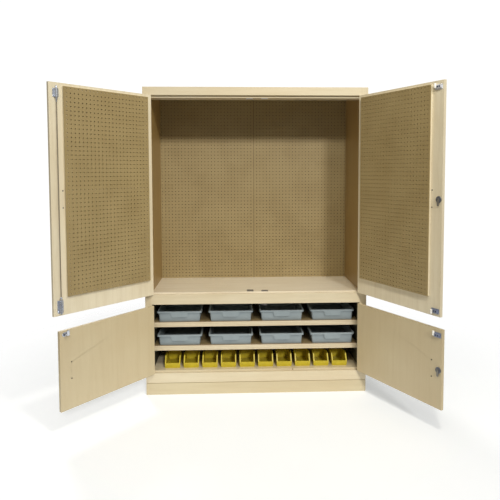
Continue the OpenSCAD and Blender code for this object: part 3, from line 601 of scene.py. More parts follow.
def tray_shape(half_x, half_y, height):
    """A tray about the middle of its floor: up its outside, over the rim and down inside."""
    tray = Shape()
    lean = TRAY_TAPER / height
    under = height - TRAY_RIM_H
    rim_inside = height - 1.8

    def wall_at(z, inside):
        back = TRAY_RIM_W + lean * (height - z) + inside
        return half_x - back, half_y - back

    def loop(z, inset, radius):
        x, y = wall_at(z, inset)
        return ring(x, y, radius, z)

    tray.loft([
        loop(0.3, 4.0, 8.0),
        loop(1.0, 1.2, 10.0),
        loop(3.0, 0.0, 11.0),
        loop(under, 0.0, 12.0),
        loop(rim_inside, 0.0, 12.0),
        ring(half_x - SKIRT, half_y - SKIRT, 13.0, rim_inside),
        ring(half_x - SKIRT, half_y - SKIRT, 13.0, under),
        ring(half_x, half_y, 14.0, under),
        ring(half_x, half_y, 14.0, height - 1.6),
        ring(half_x - 0.5, half_y - 0.5, 13.5, height - 0.5),
        ring(half_x - 1.6, half_y - 1.6, 12.5, height),
        loop(height, TRAY_WALL - 1.2, 10.5),
        loop(height - 1.2, TRAY_WALL, 9.5),
        loop(TRAY_WALL + 4.0, TRAY_WALL, 8.5),
        loop(TRAY_WALL + 1.0, TRAY_WALL + 1.0, 7.5),
        loop(TRAY_WALL, TRAY_WALL + 4.0, 6.0),
    ])
    top, low = FLAP_TOP_W / 2, FLAP_LOW_W / 2
    foot = height - FLAP_DROP
    bead_end = low - 3.5
    outline = [(-top, under + 2.0), (-low - 1.5, foot + 5.0), (-bead_end, foot), (bead_end, foot)]
    outline += [(low + 1.5, foot + 5.0), (top, under + 2.0)]
    front = -half_y + 0.1
    tray.slab(outline, "y", front, -half_y + FLAP_T)
    tray.rod([(x, front + BEAD_R, foot + BEAD_R) for x in (-bead_end, bead_end)], BEAD_R)
    return mm_scaled(tray)


def tray_grey(name):
    finish = Finish(name, {"Specular IOR Level": 0.45})
    grain = finish.noise(finish.place, 900.0, 3.0)
    cloud = finish.noise(finish.place, 14.0, 2.0).rise(0.2, 0.8)
    rub = finish.noise(finish.scaled(finish.place, (1.0, 1.0, 12.0)), 60.0, 3.0).rise(0.6, 0.8)
    colour = finish.blend(grain * 0.4 + cloud * 0.4, tone(150, 162, 168), tone(128, 140, 146))
    colour = finish.blend(rub * 0.2, colour, tone(182, 192, 196))
    return finish.surface(colour, grain * 0.2 + 0.36, grain, 0.08 * MM)


grey_plastic = tray_grey("grey_plastic")
for shelf in ("upper", "lower"):
    for i in range(1, 5):
        node = f"{shelf}_tray_{i}"
        low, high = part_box(node)
        half = (high - low) / 2 / MM
        tray = tray_shape(half.x, half.y, 2 * half.z)
        middle = Matrix.Translation(((low.x + high.x) / 2, (low.y + high.y) / 2, low.z))
        made = tray.piece(
            f"{shelf}_grey_tray_{i}", node, "tray_plastic", [grey_plastic], place=middle
        )
        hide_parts(node)

# ------------------------------------------------------------------ bins
# Ten open-fronted bins of yellow moulded plastic on the bottom deck. Each has a low front
# lip with a label panel, sloping side edges, and a flange all round its mouth.

BIN_FLANGE = 5.5
BIN_WALL = 2.5
BIN_LIP = 37.0
BIN_SLOPE = 35.0
BIN_LEAN = 6.0
BIN_CORNER = 10.0
BIN_CORNER_STEPS = 5
FLANGE_T = 3.0
PANEL_HALF = 38.0
PANEL_LOW = 8.0
PANEL_TOP = 29.0
RIDGE = 0.9


def rectangle(x0, z0, x1, z1):
    return [(x0, z0), (x1, z0), (x1, z1), (x0, z1)]


def bin_shape(half, depth, height):
    """A bin with its front at y 0."""
    made = Shape()
    body = half - BIN_FLANGE

    def front(z):
        """How far the sloping front edge lies back at a height."""
        if z <= BIN_LIP:
            return BIN_LEAN * (1 - z / BIN_LIP)
        return BIN_SLOPE * (z - BIN_LIP) / (height - BIN_LIP)

    def trough(half_w, radius, floor, top):
        """A section from the left top down, across the floor and up to the right."""
        left = [(-half_w, z) for z in (top, BIN_LIP, floor + radius) if z <= top]
        middle_x, middle_z = radius - half_w, floor + radius
        for k in range(1, BIN_CORNER_STEPS):
            a = math.pi / 2 * k / BIN_CORNER_STEPS
            left.append((middle_x - radius * math.cos(a), middle_z - radius * math.sin(a)))
        left.append((-half_w + radius, floor))
        return left + [(-x, z) for x, z in reversed(left)]

    outer = trough(body, BIN_CORNER, 0.0, height)
    inner = trough(body - BIN_WALL, BIN_CORNER - BIN_WALL, BIN_WALL, height)
    section = outer + inner[::-1]
    made.loft([
        [(x, front(z) + 0.4, z) for x, z in section],
        [(x, front(z) + 6.0, z) for x, z in section],
        [(x, depth - 0.4, z) for x, z in section],
    ])
    plate = trough(half - 0.4, 9.0, 0.0, BIN_LIP)
    plate = [p for k, p in enumerate(plate) if k == 0 or p != plate[k - 1]]
    made.loft([
        [(x, front(z), z) for x, z in plate],
        [(x, front(z) + BIN_WALL, z) for x, z in plate],
    ])
    made.loft([[(x, y, z) for x, z in outer] for y in (depth - BIN_WALL, depth)])
    under = height - FLANGE_T
    mouth = [(0.0, BIN_LIP - 4.0), (0.0, BIN_LIP), (BIN_SLOPE, height), (depth, height)]
    mouth += [(depth, under), (BIN_SLOPE + 2.2, under), (3.2, BIN_LIP - 4.0)]
    for side in (-1, 1):
        made.slab(mouth, "x", side * (body - BIN_WALL), side * half)
    made.slab(rectangle(-half, under, half, height), "y", depth - 5.0, depth)
    for ridge in (
        rectangle(-PANEL_HALF, PANEL_LOW, PANEL_HALF, PANEL_LOW + RIDGE),
        rectangle(-PANEL_HALF, PANEL_TOP - RIDGE, PANEL_HALF, PANEL_TOP),
        rectangle(-PANEL_HALF, PANEL_LOW, -PANEL_HALF + RIDGE, PANEL_TOP),
        rectangle(PANEL_HALF - RIDGE, PANEL_LOW, PANEL_HALF, PANEL_TOP),
    ):
        made.loft([[(x, front(z) + y, z) for x, z in ridge] for y in (-0.6, 1.0)])
    return mm_scaled(made)


def bin_yellow(name):
    finish = Finish(name, {"Specular IOR Level": 0.5})
    grain = finish.noise(finish.place, 700.0, 2.0)
    flow = finish.noise(finish.scaled(finish.place, (1.0, 0.3, 1.0)), 30.0, 3.0).rise(0.3, 0.8)
    scuff = finish.noise(finish.scaled(finish.place, (1.0, 8.0, 1.0)), 90.0, 3.0).rise(0.62, 0.8)
    colour = finish.blend(grain * 0.3 + flow * 0.5, tone(206, 188, 44), tone(176, 154, 28))
    colour = finish.blend(scuff * 0.2, colour, tone(228, 218, 120))
    return finish.surface(colour, grain * 0.15 + 0.3, grain, 0.05 * MM)


yellow_plastic = bin_yellow("yellow_plastic")
for i in range(1, 11):
    node = f"bin_{i}"
    low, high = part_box(node)
    size = (high - low) / MM
    made = bin_shape(size.x / 2, size.y, size.z).piece(
        f"yellow_bin_{i}", node, "bin_plastic", [yellow_plastic],
        place=Matrix.Translation(((low.x + high.x) / 2, low.y, low.z)),
    )
    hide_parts(node)

# ------------------------------------------------------------------ hinges
# Nickel-plated steel butt hinges, five knuckles on a headed pin, let into the gap between
# stile and door.


def plated(name, light, dark, metallic=1.0, rough=0.28, shaded_below=None):
    """Plated metal; below a height it can be darkened with painted shade."""
    finish = Finish(name)
    brush = finish.noise(finish.scaled(finish.place, (1.0, 1.0, 0.1)), 700.0, 3.0)
    tarnish = finish.noise(finish.place, 28.0, 3.0).rise(0.45, 0.85)
    colour = finish.blend(brush * 0.35 + tarnish * 0.4, tone(*light), tone(*dark))
    if shaded_below:
        # Painted shade: below the given height the plate turns dark.
        colour = finish.blend((finish.axis("Z") < shaded_below) * 0.85, colour, tone(44, 40, 34))
    return finish.surface(colour, tarnish * 0.2 + rough, brush, 0.03 * MM, metallic)


nickel = plated("nickel_plate", (222, 218, 208), (176, 168, 152))
for node in ("frame_hinge_leaves", "hinge_pins", *(d + "_hinge_leaves" for d in DOORS)):
    dress(node, nickel, ease=0.0)

# ------------------------------------------------------------------ pulls
# A bent nickel wire on the outside of each door, a small foot under each of its ends, and
# two pan-head screws that hold it from the inside.

PULL_BEND = 10.0
FOOT_R = 7.0
FOOT_H = 2.0
PULL_SCREW_H = 1.6
PULL_BEND_STEPS = 6

# A door's own directions: along it, up, and into the case when it is shut.
INTO = (0.0, 1.0, 0.0)
OUT = (0.0, -1.0, 0.0)
DOOR_WAYS = (Vector((1.0, 0.0, 0.0)), Vector((0.0, 0.0, 1.0)), Vector(INTO))


def door_mm(node, door, low_z=0.0, high_z=ABOVE_ALL):
    """door_box in millimetres. Its two heights stay in metres."""
    return [corner / MM for corner in door_box(node, door, low_z, high_z)]


def fit(shape, door, name, body, slot, materials, node, ease=0.0):
    """Sets a shape down on its door, in place of the CAD node that it is drawn over."""
    made = mm_scaled(shape).piece(name, body, slot, materials, door_place(door), ease)
    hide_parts(node)


def rounded_corner(before, corner, after, radius):
    """Points that round off the square corner of a path."""
    back, on = (before - corner).normalized(), (after - corner).normalized()
    centre = corner + (back + on) * radius
    angles = [math.pi / 2 * k / PULL_BEND_STEPS for k in range(PULL_BEND_STEPS + 1)]
    return [centre - on * radius * math.cos(a) - back * radius * math.sin(a) for a in angles]


def add_block(shape, centre, ways, halves, paint):
    """A small block whose edges run along three given directions."""
    loops = []
    for end in (-1, 1):
        middle = Vector(centre) + ways[2] * halves[2] * end
        loops.append([
            middle + ways[0] * halves[0] * a + ways[1] * halves[1] * b
            for a, b in rectangle(-1, -1, 1, 1)
        ])
    shape.loft(loops, paint)


def screw(shape, seat, out, radius, height, metal=0, shade=1):
    """A pan-head screw's head that stands on its seat, with its cross slot drawn as raised blocks in
    painted shadow.
    """
    seat, out = Vector(seat), Vector(out)
    profile = [(0.0, radius), (height * 0.4, radius), (height * 0.8, radius * 0.78)]
    shape.turned(seat, out, profile + [(height, radius * 0.4)], metal)
    side = out.orthogonal().normalized()
    ways = (side, out.cross(side), out)
    long, narrow = radius * 0.5, radius * 0.12
    for halves in ((long, narrow, 0.15), (narrow, long, 0.15)):
        add_block(shape, seat + out * (height - 0.1), ways, halves, shade)


# Painted shadow, mottled: laid on raised blocks in place of slots and notches, and on the pull
# screws' heads.
def slot_shade(name):
    finish = Finish(name)
    shadow_mottle = finish.noise(finish.place, 900.0, 2.0)
    return finish.surface(finish.blend(shadow_mottle, tone(38, 36, 34), tone(64, 60, 54)), shadow_mottle * 0.2 + 0.6)


dark_slot = slot_shade("slot_shadow")
for door in DOORS:
    low, high = door_mm(door + "_pull", door)
    face = door_mm(door + "_door", door)[0].y
    radius = (high.x - low.x) / 2
    along = (low.x + high.x) / 2
    bar = low.y + radius
    feet = [Vector((along, face, z)) for z in (low.z + radius, high.z - radius)]
    corners = [Vector((along, bar, foot.z)) for foot in feet]
    path = [feet[0]] + rounded_corner(feet[0], corners[0], corners[1], PULL_BEND)
    path += rounded_corner(corners[0], corners[1], feet[1], PULL_BEND) + [feet[1]]
    pull = Shape()
    pull.rod(path, radius)
    for foot in feet:
        pull.turned(foot, OUT, [(0.0, FOOT_R), (FOOT_H * 0.6, FOOT_R), (FOOT_H, radius)])
        seat = (along, high.y - PULL_SCREW_H, foot.z)
        # Painted shadow: these screw heads take the slot-shadow paint all over, so they read as dark
        # dots.
        screw(pull, seat, INTO, radius - 0.5, PULL_SCREW_H, 1)
    metals = [nickel, dark_slot]
    fit(pull, door, door + "_wire_pull", door + "_leaf", "nickel_steel", metals, door + "_pull")

# ------------------------------------------------------------------ bolts
# Zinc-plated barrel bolts on the inside of the upper left door. The top one is worked by a
# long rod that ends in a knob, the bottom one by a thumb pin in a slot.

PLATE_T = 2.0
BARREL_R = 9.0
BORE_R = 5.75
BOLT_R = 5.5
SLOT_HALF = 3.5
BOLT_TRAVEL = 25.0
ROD_R = 2.6
ROD_KNOB_H = 12.0
BOLT_SCREW_R = 3.2
BOLT_SCREW_SIDE = 14.0
BOLT_SCREW_END = 8.0
BARREL_SIDES = 32
SLOTTED_SIDES = 28
LEFT = "upper_left"
# Between the fittings at a door's top and those at its foot, in metres.
MIDDLE_HEIGHT = 1.4

zinc = plated("zinc_plate", (222, 228, 240), (128, 138, 168), 0.75, 0.24)
rod_steel = plated("dull_rod_steel", (150, 138, 120), (104, 92, 78), 0.6, 0.45)


def barrel_skin(angle, drop):
    """A barrel's skin, seen from the bolt's axis: round on top, square down to its plate."""
    cos, sin = math.cos(angle), math.sin(angle)
    reach = BARREL_R
    if sin < 0:
        reach = min(BARREL_R / max(abs(cos), 0.01), drop / abs(sin))
    return reach * cos, reach * sin


def bolt_case(low, high, slot=None):
    """A base plate with four screws, and a barrel that the bolt slides in."""
    made = Shape()
    door_face = low.y
    axis_x, axis_y = (low.x + high.x) / 2, high.y - BARREL_R
    drop = axis_y - door_face
    made.slab(round_plate(low.x, low.z, high.x, high.z, 4.0), "y", door_face, door_face + PLATE_T)
    for side in (-1, 1):
        for z in (low.z + BOLT_SCREW_END, high.z - BOLT_SCREW_END):
            seat = (axis_x + side * BOLT_SCREW_SIDE, door_face + PLATE_T, z)
            screw(made, seat, INTO, BOLT_SCREW_R, 1.4)

    def skin(angle, z):
        x, y = barrel_skin(angle, drop)
        return axis_x + x, axis_y + y, z

    def bore(angle, z):
        return axis_x + BORE_R * math.cos(angle), axis_y + BORE_R * math.sin(angle), z

    def whole(z0, z1):
        """A closed length of the barrel, with its bore."""
        angles = [2 * math.pi * k / BARREL_SIDES for k in range(BARREL_SIDES)]
        walls = ((skin, z0), (skin, z1), (bore, z1), (bore, z0), (skin, z0))
        made.loft([[at(a, z) for a in angles] for at, z in walls], ends=False)

    if slot:
        whole(low.z, slot[0])
        whole(slot[1], high.z)
        gap = math.asin(SLOT_HALF / BARREL_R)
        start, sweep = math.pi / 2 + gap, 2 * (math.pi - gap)
        angles = [start + sweep * k / SLOTTED_SIDES for k in range(SLOTTED_SIDES + 1)]
        outline = [skin(a, 0.0)[:2] for a in angles]
        outline += [bore(a, 0.0)[:2] for a in reversed(angles)]
        made.slab(outline, "z", *slot)
    else:
        whole(low.z, high.z)
    return made


thumb = door_mm("bottom_bolt", LEFT)
rod_box = door_mm("top_bolt", LEFT)
cases = {"top": door_mm("bolt_cases", LEFT, low_z=MIDDLE_HEIGHT)}
cases["bottom"] = door_mm("bolt_cases", LEFT, high_z=MIDDLE_HEIGHT)
bolt_x = (rod_box[0].x + rod_box[1].x) / 2
bolt_y = (rod_box[0].y + rod_box[1].y) / 2
case_middle = (cases["bottom"][0].z + cases["bottom"][1].z) / 2
thumb_z = case_middle + BOLT_TRAVEL / 2
slots = {"bottom": (thumb_z - BOLT_TRAVEL - SLOT_HALF, thumb_z + SLOT_HALF), "top": None}
for end, (low, high) in cases.items():
    case = bolt_case(low, high, slots[end])
    metals = [zinc, dark_slot]
    fit(case, LEFT, end + "_bolt_case", LEFT + "_leaf", "zinc_steel", metals, "bolt_cases")


def bolt_point(tip, away):
    """A bolt's blunt tip and the shoulder behind it, as a turned profile."""
    steps = ((0.0, 2.4), (1.2, 3.6), (4.0, 5.2), (5.5, BOLT_R))
    return [(tip + away * distance, radius) for distance, radius in steps]


tail = cases["top"][0].z - 8.0
knob_top = rod_box[0].z + ROD_KNOB_H
bolt_axis = (bolt_x, bolt_y, 0.0)
up = (0.0, 0.0, 1.0)
long_bolt = Shape()
long_bolt.turned(bolt_axis, up, bolt_point(rod_box[1].z, -1.0) + [
    (tail, BOLT_R), (tail - 3.0, 4.9), (tail - 20.0, ROD_R)
])
long_bolt.turned(bolt_axis, up, [(tail - 18.0, ROD_R), (knob_top - 2.0, ROD_R)], 1)
long_bolt.turned((bolt_x, bolt_y, rod_box[0].z), up, [
    (0.0, 4.6), (0.8, 6.4), (2.0, 7.0), (4.4, 7.0), (5.0, 6.3), (5.8, 6.3), (6.4, 7.0),
    (9.4, 7.0), (11.0, 6.0), (ROD_KNOB_H, 4.0),
])
fit(long_bolt, LEFT, "long_top_bolt", "top_bolt", "zinc_steel", [zinc, rod_steel], "top_bolt")

short_bolt = Shape()
short_bolt.turned(bolt_axis, up, bolt_point(thumb[0].z, 1.0) + [
    (thumb[1].z - 0.8, BOLT_R), (thumb[1].z, BOLT_R - 0.8)
])
reach = thumb[1].y - bolt_y
short_bolt.turned((bolt_x, bolt_y, thumb_z), INTO, [
    (3.0, 2.6), (10.0, 2.6), (10.6, 3.0), (reach - 1.6, 3.0), (reach - 0.6, 2.4), (reach, 1.2)
])
fit(short_bolt, LEFT, "short_bottom_bolt", "bottom_bolt", "zinc_steel", [zinc], "bottom_bolt")

# ------------------------------------------------------------------ locks
# A cam lock through each right door: a plated collar and a plug with its key slot outside,
# and a dark nut on a thin washer inside, with the cam hanging down.

COLLAR_R = 13.0
NUT_R = 19.0
WASHER_R = 20.5
PLUG_R = 4.0
CAM_HALF = 7.0
CAM_LENGTH = 37.0
CAM_T = 2.0
CAM_SCREW_H = 2.0
COLLAR_T = 3.0
NUT_STAND = 6.0
SPANNER_REACH = 15.0
KEY_SLOT = (0.6, 3.0, 0.5)
ARC_STEPS = 10


def dark_plate(name, light, dark):
    finish = Finish(name, {"Coat Weight": 0.2, "Coat Roughness": 0.3})
    grain = finish.noise(finish.place, 500.0, 3.0)
    rub = finish.noise(finish.place, 60.0, 2.0).rise(0.5, 0.8)
    colour = finish.blend(grain * 0.5 + rub * 0.4, tone(*light), tone(*dark))
    return finish.surface(colour, rub * 0.15 + 0.4, grain, 0.05 * MM, 0.3)


lock_grey = dark_plate("dark_lock_grey", (104, 108, 118), (70, 74, 82))
cam_grey = dark_plate("cam_grey", (132, 130, 126), (96, 94, 90))
for door in ("upper_right", "lower_right"):
    level = door.split("_")[0]
    low, high = door_mm(level + "_lock", door)
    door_in = high.y - NUT_STAND
    face = low.y + COLLAR_T
    centre = (low + high) / 2
    collar = [(-1.0, COLLAR_R), (1.8, COLLAR_R), (2.6, 12.2), (COLLAR_T, 11.0), (COLLAR_T, 6.0)]
    collar += [(2.2, 5.0), (2.2, PLUG_R + 0.3)]
    washer = [(0.0, WASHER_R), (0.8, WASHER_R), (0.9, NUT_R)]
    nut = [(0.0, NUT_R), (3.2, NUT_R), (4.4, 18.0), (5.0, 16.4), (5.0, 12.6), (4.4, 11.8)]
    nut += [(4.4, 8.0)]
    lock = Shape()
    lock.turned((centre.x, face, centre.z), OUT, collar, 1)
    lock.turned((centre.x, door_in, centre.z), INTO, washer, 1)
    lock.turned((centre.x, door_in + 0.8, centre.z), INTO, nut)
    # Painted shadow: two dark blocks on the nut stand for its spanner notches.
    for side in (-1, 1):
        notch = (centre.x + side * SPANNER_REACH, door_in + 5.4, centre.z)
        add_block(lock, notch, DOOR_WAYS, (2.2, 1.4, 0.6), 2)
    metals = [lock_grey, nickel, dark_slot]
    fit(lock, door, level + "_cam_lock", door + "_leaf", "dark_steel", metals, level + "_lock")

    cam_low, cam_high = door_mm(level + "_cam", door)
    cam = Shape()
    arc = [math.pi * k / ARC_STEPS for k in range(ARC_STEPS + 1)]
    foot_z = centre.z - CAM_LENGTH + CAM_HALF
    outline = [(centre.x + CAM_HALF * math.cos(a), centre.z + CAM_HALF * math.sin(a)) for a in arc]
    outline += [(centre.x - CAM_HALF * math.cos(a), foot_z - CAM_HALF * math.sin(a)) for a in arc]
    cam_face = cam_high.y - CAM_SCREW_H
    cam.slab(outline, "y", cam_face - CAM_T, cam_face)
    plug = [(0.0, PLUG_R - 0.4), (0.4, PLUG_R), (cam_high.y - cam_low.y - 3.0, PLUG_R)]
    cam.turned((centre.x, cam_low.y, centre.z), INTO, plug)
    screw(cam, (centre.x, cam_face, centre.z), INTO, PLUG_R + 1.0, CAM_SCREW_H)
    # Painted shadow: a dark block stands for the key slot.
    add_block(cam, (centre.x, cam_low.y + 0.4, centre.z), DOOR_WAYS, KEY_SLOT, 1)
    metals = [cam_grey, dark_slot]
    fit(cam, door, level + "_lock_cam", level + "_cam", "zinc_steel", metals, level + "_cam")

# ------------------------------------------------------------------ catches
# Three bumper catches on the right doors, each a plated bracket with a white nylon stud, and
# an elbow catch on the lower left door.

CATCH_PLATE_T = 1.5
STUD_R = 7.0
STUD_LENGTH = 27.0
CATCH_BODY_T = 12.5
CATCH_BODY_RISE = 6.0
CATCH_EDGE = 1.5
CHEEK_HALF = 4.0
CHEEK_RISE = 8.0


def nylon(name):
    finish = Finish(name, {"Specular IOR Level": 0.4})
    haze = finish.noise(finish.place, 120.0, 3.0)
    rub = finish.noise(finish.place, 500.0, 2.0).rise(0.55, 0.75)
    colour = finish.blend(haze * 0.5, tone(250, 249, 244), tone(234, 232, 224))
    colour = finish.blend(rub * 0.15, colour, tone(190, 186, 176))
    return finish.surface(colour, haze * 0.15 + 0.35, haze, 0.05 * MM)


def stud_catch(low, high, up):
    """A catch in its box: the stud points up or down, with the body beside it."""
    made = Shape()
    face = low.y
    tip, foot = (high.z, low.z) if up else (low.z, high.z)
    way = 1 if up else -1
    z0, z1 = sorted((foot, tip - way * 6.0))
    front = face + CATCH_PLATE_T
    made.slab(round_plate(low.x, z0, high.x, z1, 2.5), "y", face, front)
    left, right = low.x + 18.0, high.x - 6.0
    body_low, body_high = z0 + CATCH_BODY_RISE, z1 - CATCH_BODY_RISE
    body_front = front + CATCH_BODY_T
    step = body_front - CATCH_EDGE
    for back, ahead, inset in ((front, step, 0.0), (step, body_front, CATCH_EDGE)):
        outline = round_plate(left + inset, body_low + inset, right - inset, body_high - inset, 2.0)
        made.slab(outline, "y", back, ahead)
    # Painted shade: two dark blue squares on the front of the body, drawn in place of recesses.
    for x in (left + 8.5, right - 8.5):
        add_block(made, (x, body_front, (z0 + z1) / 2), DOOR_WAYS, (5.0, 4.4, 0.25), 1)
    for z in (z0 + 4.0, z1 - 4.0):
        screw(made, (high.x - 3.4, front, z), INTO, 2.6, 1.2)
    axis_x, axis_y = low.x + STUD_R, high.y - STUD_R
    cheek = rectangle(axis_x - CHEEK_HALF, z0 + CHEEK_RISE, axis_x + CHEEK_HALF, z1 - CHEEK_RISE)
    made.slab(cheek, "y", face, axis_y - 2.0)
    made.turned((axis_x, axis_y, tip), (0, 0, -way), [
        (0.0, 3.6), (0.5, 5.2), (1.6, 6.5), (3.2, STUD_R), (STUD_LENGTH - 2.0, STUD_R),
        (STUD_LENGTH - 0.7, 6.4), (STUD_LENGTH, 5.0),
    ], 2)
    return made


white_nylon = nylon("white_nylon")
# Painted light and shade: the top catch takes a lighter copy of the zinc, the two lower catches a
# darker one.
bright_zinc = plated("bright_zinc", (242, 243, 247), (176, 184, 206), 0.4, 0.22)
recess_shade = plated("blued_recess", (62, 70, 100), (40, 44, 66), 0.4, 0.4)
dull_zinc = plated("dull_zinc", (158, 168, 194), (94, 102, 130), 0.5, 0.3)
catches = (
    ("upper_right", "catches", "top_bumper_catch", (MIDDLE_HEIGHT, ABOVE_ALL), True, bright_zinc),
    ("upper_right", "catches", "foot_bumper_catch", (0.0, MIDDLE_HEIGHT), False, dull_zinc),
    ("lower_right", "catch", "low_bumper_catch", (0.0, ABOVE_ALL), True, dull_zinc),
)
for door, kind, name, heights, upwards, metal in catches:
    node = door + "_" + kind
    low, high = door_mm(node, door, *heights)
    catch = stud_catch(low, high, upwards)
    materials = [metal, recess_shade, white_nylon]
    fit(catch, door, name, door + "_leaf", "zinc_steel", materials, node)

ELBOW = "lower_left"
LEVER_T = 3.0
LEVER_HALF = 8.0
LUG_T = 2.0
EYE_SIDES = 14
ELBOW_PIN_STAND = 8.0
ELBOW_PIN_R = 1.5
ELBOW_SCREW_SIDE = 15.5
base_low, base_high = door_mm("elbow_base", ELBOW)
base_front = base_low.y + CATCH_PLATE_T
pin_x, pin_z = (base_low.x + base_high.x) / 2, (base_low.z + base_high.z) / 2
pin_y = base_low.y + ELBOW_PIN_STAND
elbow = Shape()
base = round_plate(base_low.x, base_low.z, base_high.x, base_high.z, 11.0)
elbow.slab(base, "y", base_low.y, base_front, 1)
for side in (-1, 1):
    x = pin_x + side * (LEVER_HALF + 0.3)
    lug = [(base_low.y, -7.0), (pin_y, -7.0), (pin_y + 3.0, -5.0), (pin_y + 4.0, -2.0)]
    lug += [(pin_y + 4.0, 2.0), (pin_y + 3.0, 5.0), (pin_y, 7.0), (base_low.y, 7.0)]
    elbow.slab([(y, pin_z + z) for y, z in lug], "x", x, x + side * LUG_T)
    seat = (pin_x + side * ELBOW_SCREW_SIDE, base_front, pin_z)
    screw(elbow, seat, INTO, 3.0, 1.2, 1, 2)
pin_half = LEVER_HALF + LUG_T + 0.8
pin = [(0.0, 1.2), (0.4, ELBOW_PIN_R), (2 * pin_half, ELBOW_PIN_R)]
elbow.turned((pin_x - pin_half, pin_y, pin_z), (1.0, 0.0, 0.0), pin, 1)
metals = [lock_grey, zinc, dark_slot]
fit(elbow, ELBOW, "elbow_catch_base", ELBOW + "_leaf", "dark_steel", metals, "elbow_base")

lever_high = door_mm("elbow_lever", ELBOW)[1]
lever_end, hook_top = lever_high.y, lever_high.z - pin_z
hook_y = lever_end - LEVER_T
lever = Shape()
strip = [(pin_y - 2.0, -LEVER_T), (lever_end - 2.0, -LEVER_T), (lever_end - 0.6, -LEVER_T + 0.6)]
strip += [(lever_end, -LEVER_T + 2.0), (lever_end, hook_top - 1.5), (lever_end - 1.5, hook_top)]
strip += [(hook_y, hook_top - 4.0), (hook_y, 0.0), (pin_y - 2.0, 0.0)]
lever.slab([(y, pin_z + z) for y, z in strip], "x", pin_x - LEVER_HALF, pin_x + LEVER_HALF)
turns = [2 * math.pi * k / EYE_SIDES for k in range(EYE_SIDES)]
eye = [(pin_y + LEVER_T * math.cos(a), pin_z + LEVER_T * math.sin(a)) for a in turns]
lever.slab(eye, "x", pin_x - LEVER_HALF, pin_x + LEVER_HALF)
fit(
    lever, ELBOW, "elbow_catch_lever", "elbow_lever", "zinc_steel", [zinc], "elbow_lever",
    ease=0.4 * MM,
)

# ------------------------------------------------------------------ strikes
# Thin zinc plates screwed under the stretcher, on the work deck and behind the middle rail,
# where the bolts, the studs and the elbow catch meet the case.

SHUT_BOLT_X = -43.0
SHUT_STUD_X = 58.0
STRIKE_T = 1.5
STRIKE_SCREW_R = 3.0
STRIKE_SCREW_H = 0.8
STRIKE_SCREW_SIDE = 15.0
BRIGHT_PLATES = 100.0 * MM

# Only the plates up under the stretcher are bright; the ones below are darkened with painted shade.
under_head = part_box("head_stretcher")[0].z
strike_zinc = plated(
    "strike_zinc", (244, 244, 247), (206, 208, 214), 0.2, 0.3, under_head - BRIGHT_PLATES
)
dress("strikes", strike_zinc, ease=0.3 * MM)
strike_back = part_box("strikes")[1].y / MM
deck_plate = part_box("work_deck")[1].z / MM + STRIKE_T
stretcher_plate = under_head / MM - STRIKE_T
strike_screws = Shape()
for x, y in ((SHUT_BOLT_X, strike_back - 10.0), (SHUT_STUD_X, strike_back - 22.0)):
    for side in (-1, 1):
        for z, way in ((deck_plate, 1.0), (stretcher_plate, -1.0)):
            seat = (x + side * STRIKE_SCREW_SIDE, y, z)
            screw(strike_screws, seat, (0.0, 0.0, way), STRIKE_SCREW_R, STRIKE_SCREW_H)
mm_scaled(strike_screws).piece("strike_screws", "case", "zinc_steel", [zinc, dark_slot])

# ------------------------------------------------------------------ the room
# A pale floor, a broad key light from the upper right front with a nearer one before it, a
# soft panel overhead in the dome, and a light from behind for the views of the back.

FLOOR_HALF = 4.0
CAMERA_PLACE = (-0.1403, -3.805, 1.5384)
CAMERA_YAW = 0.0379
CAMERA_PITCH = 0.0571
CAMERA_ROLL = -0.0025
LENS = 37.36
SENSOR = 36.0
SHIFT = (-0.01084, -0.0977)
FLOOR_FADES = (1.0, 3.2)
KEY_WAY = (-0.258, 1.0, -0.53)
KEY_POWER = 1.1
NEAR_PLACE = (0.593, -2.58, 3.27)
NEAR_WAY = (-0.36, 1.0, -0.87)
NEAR_POWER = 38.0
BEHIND_WAY = (0.45, -1.0, -0.7)
BEHIND_POWER = 0.9


def pale_floor(name):
    """A white floor round the cabinet that fades out into the backdrop."""
    finish = Finish(name, {"Emission Strength": 0.3, "Emission Color": (0.9, 1.0, 1.1, 1.0)})
    dust = finish.noise(finish.place, 3.0, 4.0)
    distance = finish.length(finish.place)
    finish.feed(finish.shader.inputs["Alpha"], 1.0 - distance.rise(*FLOOR_FADES))
    colour = finish.blend(dust, (0.86, 0.87, 0.89, 1.0), (0.82, 0.83, 0.85, 1.0))
    return finish.surface(colour, 0.7)


floor_mesh = bpy.data.meshes.new("floor")
floor_corners = rectangle(-FLOOR_HALF, -FLOOR_HALF, FLOOR_HALF, FLOOR_HALF)
floor_mesh.from_pydata([(x, y, 0.0) for x, y in floor_corners], [], [(0, 1, 2, 3)])
floor_mesh.materials.append(pale_floor("pale_floor"))
floor = bpy.data.objects.new("floor", floor_mesh)
bpy.context.scene.collection.objects.link(floor)


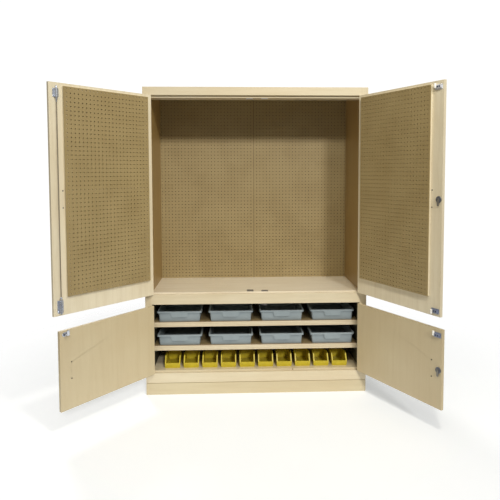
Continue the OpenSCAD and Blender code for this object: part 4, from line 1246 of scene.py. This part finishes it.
def lamp(name, kind, way, power, colour, place=(0.0, 0.0, 0.0)):
    """A light that shines along way."""
    light = bpy.data.lights.new(name, kind)
    light.energy, light.color = power, colour
    made = bpy.data.objects.new(name, light)
    made.location = place
    made.rotation_euler = Vector(way).to_track_quat("-Z", "Y").to_euler()
    bpy.context.scene.collection.objects.link(made)
    return light


key = lamp("key", "SUN", KEY_WAY, KEY_POWER, (1.0, 0.99, 0.97))
key.angle = math.radians(7.0)
near = lamp("near_key", "AREA", NEAR_WAY, NEAR_POWER, (1.0, 0.97, 0.86), NEAR_PLACE)
near.shape, near.size = "DISK", 0.35
behind = lamp("behind", "SUN", BEHIND_WAY, BEHIND_POWER, (1.0, 0.98, 0.95))
behind.angle = math.radians(12.0)

DOME_BASE = 0.03
DOME_SIDES = 0.17
OVERHEAD = 1.1
DOME_COLOUR = (1.0, 0.93, 0.8, 1.0)

world = bpy.data.worlds.new("studio")
bpy.context.scene.world = world
world.use_nodes = True
world.node_tree.nodes.clear()
sky = Nodes(world.node_tree)
direction = sky.node("TexCoord", {}, {}, "Generated")
x, y, z = (sky.node("SeparateXYZ", {}, {0: direction}, name) for name in "XYZ")
lobe = (z * 0.87 + y * -0.5).math("MAXIMUM", 0.0) ** 4.0
strength = lobe * OVERHEAD + x.size() * DOME_SIDES + DOME_BASE
dome = sky.node("Background", {}, {"Color": DOME_COLOUR, "Strength": strength})
white = sky.node("Background", {}, {"Color": (1.0, 1.0, 1.0, 1.0), "Strength": 1.05})
seen = sky.node("LightPath", {}, {}, "Is Camera Ray")
either = sky.node("MixShader", {}, {0: seen, 1: dome, 2: white})
sky.node("OutputWorld", {}, {"Surface": either}, None)

camera = bpy.data.cameras.new("camera")
camera.lens = LENS
camera.sensor_width = SENSOR
camera.shift_x, camera.shift_y = SHIFT
camera_object = bpy.data.objects.new("camera", camera)
camera_object.location = CAMERA_PLACE
turn = Euler((math.pi / 2 - CAMERA_PITCH, 0.0, -CAMERA_YAW))
turn.rotate_axis("Z", CAMERA_ROLL)
camera_object.rotation_euler = turn
bpy.context.scene.collection.objects.link(camera_object)
bpy.context.scene.camera = camera_object
bpy.context.scene.view_settings.view_transform = "Standard"
